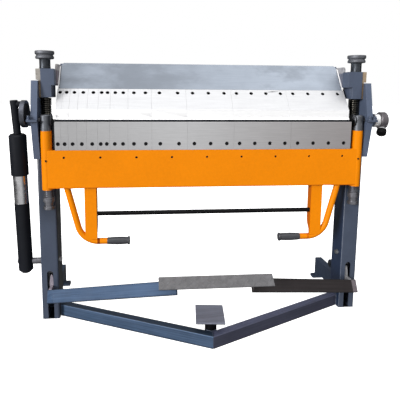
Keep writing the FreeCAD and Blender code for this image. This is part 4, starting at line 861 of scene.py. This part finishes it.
# -------------------------------------------------------------- weld beads
S, O = [], []
for side in (-1, 1):
    xi = AX(side, 11.5)
    # floor beam to column
    S.append(bead(P(xi, 96.9, 2), P(xi, 96.9, 53), 3.0, seed=1))
    S.append(bead(P(xi, 56.4, 2), P(xi, 56.4, 53), 3.0, seed=2))
    S.append(bead(P(xi, 57.5, 54.3), P(xi, 96, 54.3), 2.6, seed=3))
    # rear foot to column and its plate
    for a in (43, 77):
        S.append(bead(P(AX(side, a), 136.4, 32), P(AX(side, a), 136.4, 104), 2.6, seed=a))
        S.append(bead(P(AX(side, a), 371, 14.3), P(AX(side, a), 399, 14.3), 2.4, seed=a + 1))
    S.append(bead(P(AX(side, 43), 136.4, 105), P(AX(side, 77), 136.4, 105), 2.6, seed=5))
    # bearing plate in the column head
    S.append(bead(P(AX(side, 66), 31.2, 730), P(AX(side, 66), 31.2, 876), 2.4, seed=6))
    S.append(bead(P(AX(side, 87.0), 34, 726.2), P(AX(side, 87.0), 134, 726.2), 2.4, seed=7))
    # pivot lugs
    S.append(bead(P(AX(side, 53), 182, 105.2), P(AX(side, 53), 218, 105.2), 2.2, seed=8))
    S.append(bead(P(AX(side, 63), 182, 105.2), P(AX(side, 63), 218, 105.2), 2.2, seed=9))
# apex of the floor frame, front and rear
S.append(bead(P(0, -221.6, 2), P(0, -221.6, 53), 3.0, seed=11))
S.append(bead(P(0, -223, 54.1), P(0, -260, 54.1), 2.0, seed=12))
for sx in (-1, 1):
    S.append(bead(P(sx * 10.7 - 1 - 10.5, -215.2 - sx * 5.2, 53.6), P(sx * 10.7 - 1 + 10.5, -215.2 + sx * 5.2, 53.6), 2.2, seed=14 + sx))
v, f = join(S)
add("frame_weld_beads", v, f, BEAD, "frame", 60)
W = []
for side in (-1, 1):
    # handle arm and tube under the apron
    for y in (-14.2, 11.2):
        O.append(bead(P(side * 472, y, 604.6), P(side * 514, y, 604.6), 2.4, seed=13 + y))
    O.append(ring_bead(P(side * 578.2, 0, 603.9), (0, 0, 1), 13.9, 2.2, 3))
    # apron edge to the end tube
    O.append(bead(P(AX(side, 38) - side * 20.6, -14.5, 607), P(AX(side, 38) - side * 20.6, -14.5, 760), 2.2, seed=15))
v, f = join(O)
add("folding_beam_weld_beads", v, f, BEAD_O, "folding_beam", 60)

# --------------------------------------------------- small turned details
# dimpled grub screws in the eye blocks, facing the operator
G = []
for side in (-1, 1):
    c = P(AX(side, 38) + side * 2.0, -20.2, HB - 1.0)
    prof = [(0.2, 1.6), (1.7, 1.6), (1.9, -0.1), (3.6, -0.1), (3.9, 0.3), (3.9, 2.0)]
    G.append(lathe(prof, c, (0, 1, 0), 24))
v, f = join(G)
add("eye_grub_screws", v, f, SCREW, "folding_beam", 30)

# light washer under the clamp knob of the angle stop
K = Vector((-0.410884, -0.501078, -0.761639))
v, f = lathe([(13.2, 9.0), (18.4, 9.0), (19.2, 9.8), (19.2, 12.2), (18.4, 13.0), (7.4, 13.0), (7.4, 10.2), (13.2, 10.2)], P(776.0, -20.3, 859.1), K, 48, closed=True)
add("knob_washer", v, f, GALV_SCREW, "stop_disc", 30)

for n, wd in SOFT.items():
    soften(N[n], wd)

# ------------------------------------------------------------------- stage
floor_mat = Mat("pale_floor", rough=0.85, spec=0.2)
floor_mat.color(floor_mat.mix(floor_mat.remap(floor_mat.noise(900, 3), 0.3, 0.7, 0, 1), (0.90, 0.90, 0.90, 1), (0.93, 0.93, 0.93, 1)))
me = bpy.data.meshes.new("floor")
R = 30.0
me.from_pydata([(-R, -R, -0.0005), (R, -R, -0.0005), (R, R, -0.0005), (-R, R, -0.0005)], [], [(0, 1, 2, 3)])
floor_mat.b.inputs["Emission Color"].default_value = (1, 1, 1, 1)
fx, fy, fz = floor_mat.xyz()
# painted shadow: the floor's glow drops to nothing under each column, so the floor inside the hollow columns reads
# dark
beside = floor_mat.math("SUBTRACT", floor_mat.math("ABSOLUTE", floor_mat.math("SUBTRACT", fx, OX * 0.001)), 0.684)
column_floor_shadow = floor_mat.math("MULTIPLY", floor_mat.remap(floor_mat.math("ABSOLUTE", beside), 0.030, 0.036, 1, 0),
                       floor_mat.remap(floor_mat.math("ABSOLUTE", floor_mat.math("SUBTRACT", fy, 0.0205)), 0.046, 0.051, 1, 0))
floor_mat.wire(floor_mat.remap(column_floor_shadow, 0, 1, 0.9, 0.0), floor_mat.b.inputs["Emission Strength"])
floor = bpy.data.objects.new("floor", me)
bpy.context.scene.collection.objects.link(floor)
me.materials.append(floor_mat.m)
floor.visible_glossy = False
floor.visible_diffuse = False


def sun(name, direction, strength, angle, color=(1, 1, 1)):
    d = bpy.data.lights.new(name, "SUN")
    d.energy, d.angle, d.color = strength, math.radians(angle), color
    o = bpy.data.objects.new(name, d)
    bpy.context.scene.collection.objects.link(o)
    o.rotation_mode = "QUATERNION"
    o.rotation_quaternion = Vector(direction).to_track_quat("-Z", "Y")


def area(name, at, to, size, energy, color=(1, 1, 1)):
    d = bpy.data.lights.new(name, "AREA")
    d.shape = "RECTANGLE"
    d.size, d.size_y = size
    d.energy, d.color = energy, color
    o = bpy.data.objects.new(name, d)
    bpy.context.scene.collection.objects.link(o)
    o.location = at
    o.rotation_mode = "QUATERNION"
    o.rotation_quaternion = (Vector(to) - Vector(at)).to_track_quat("-Z", "Y")


sun("key", (0.75, 0.62, -0.27), 3.3, 18, (1.0, 0.99, 0.975))
sun("top", (-0.10, 0.30, -1.0), 0.9, 60)
area("strip_left", (-2.2, -1.6, 1.5), (0, 0, 0.8), (0.5, 1.8), 12)
area("strip_right", (2.3, -1.2, 1.6), (0, 0, 0.8), (0.5, 1.8), 7)

# soft studio surround: white, with darker sides for the metals to show
world = bpy.data.worlds.new("studio")
bpy.context.scene.world = world
world.use_nodes = True
nt = world.node_tree
bg = nt.nodes["Background"]
tc = nt.nodes.new("ShaderNodeTexCoord")
sep = nt.nodes.new("ShaderNodeSeparateXYZ")
nt.links.new(tc.outputs["Generated"], sep.inputs[0])


def wmap(v, a, b, c, d):
    n = nt.nodes.new("ShaderNodeMapRange")
    n.interpolation_type = "SMOOTHSTEP"
    for k, x in (("From Min", a), ("From Max", b), ("To Min", c), ("To Max", d)):
        n.inputs[k].default_value = x
    nt.links.new(v, n.inputs["Value"])
    return n.outputs["Result"]


def wmath(op, a, b):
    n = nt.nodes.new("ShaderNodeMath")
    n.operation = op
    for i, x in enumerate((a, b)):
        if hasattr(x, "links"):
            nt.links.new(x, n.inputs[i])
        else:
            n.inputs[i].default_value = x
    return n.outputs[0]


X, Y, Z = sep.outputs
side_dark = wmath("MULTIPLY", wmap(wmath("ABSOLUTE", X, 0), 0.45, 0.85, 0, 1), wmap(Z, 0.75, 0.35, 0, 1))
front = wmap(Y, -0.2, -0.8, 0, 1)
card = wmath("MULTIPLY", wmap(wmath("ABSOLUTE", wmath("SUBTRACT", X, 0.06), 0), 0.50, 0.02, 0, 1), wmap(wmath("ABSOLUTE", Z, 0), 0.40, 0.10, 0, 1))
card = wmath("MULTIPLY", card, wmap(Y, -0.5, -0.8, 0, 1))
value = wmath("ADD", 0.14, wmath("MULTIPLY", front, 0.40))
value = wmath("ADD", value, wmath("MULTIPLY", card, 0.55))
value = wmath("ADD", value, wmath("MULTIPLY", wmap(Z, 0.45, 0.90, 0, 1), 0.6))
value = wmath("MULTIPLY", value, wmath("SUBTRACT", 1.0, wmath("MULTIPLY", side_dark, 0.6)))
lp = nt.nodes.new("ShaderNodeLightPath")
value = wmath("MAXIMUM", value, lp.outputs["Is Camera Ray"])
nt.links.new(value, bg.inputs["Strength"])
bg.inputs["Color"].default_value = (1, 1, 1, 1)
bpy.context.scene.view_settings.view_transform = "Standard"
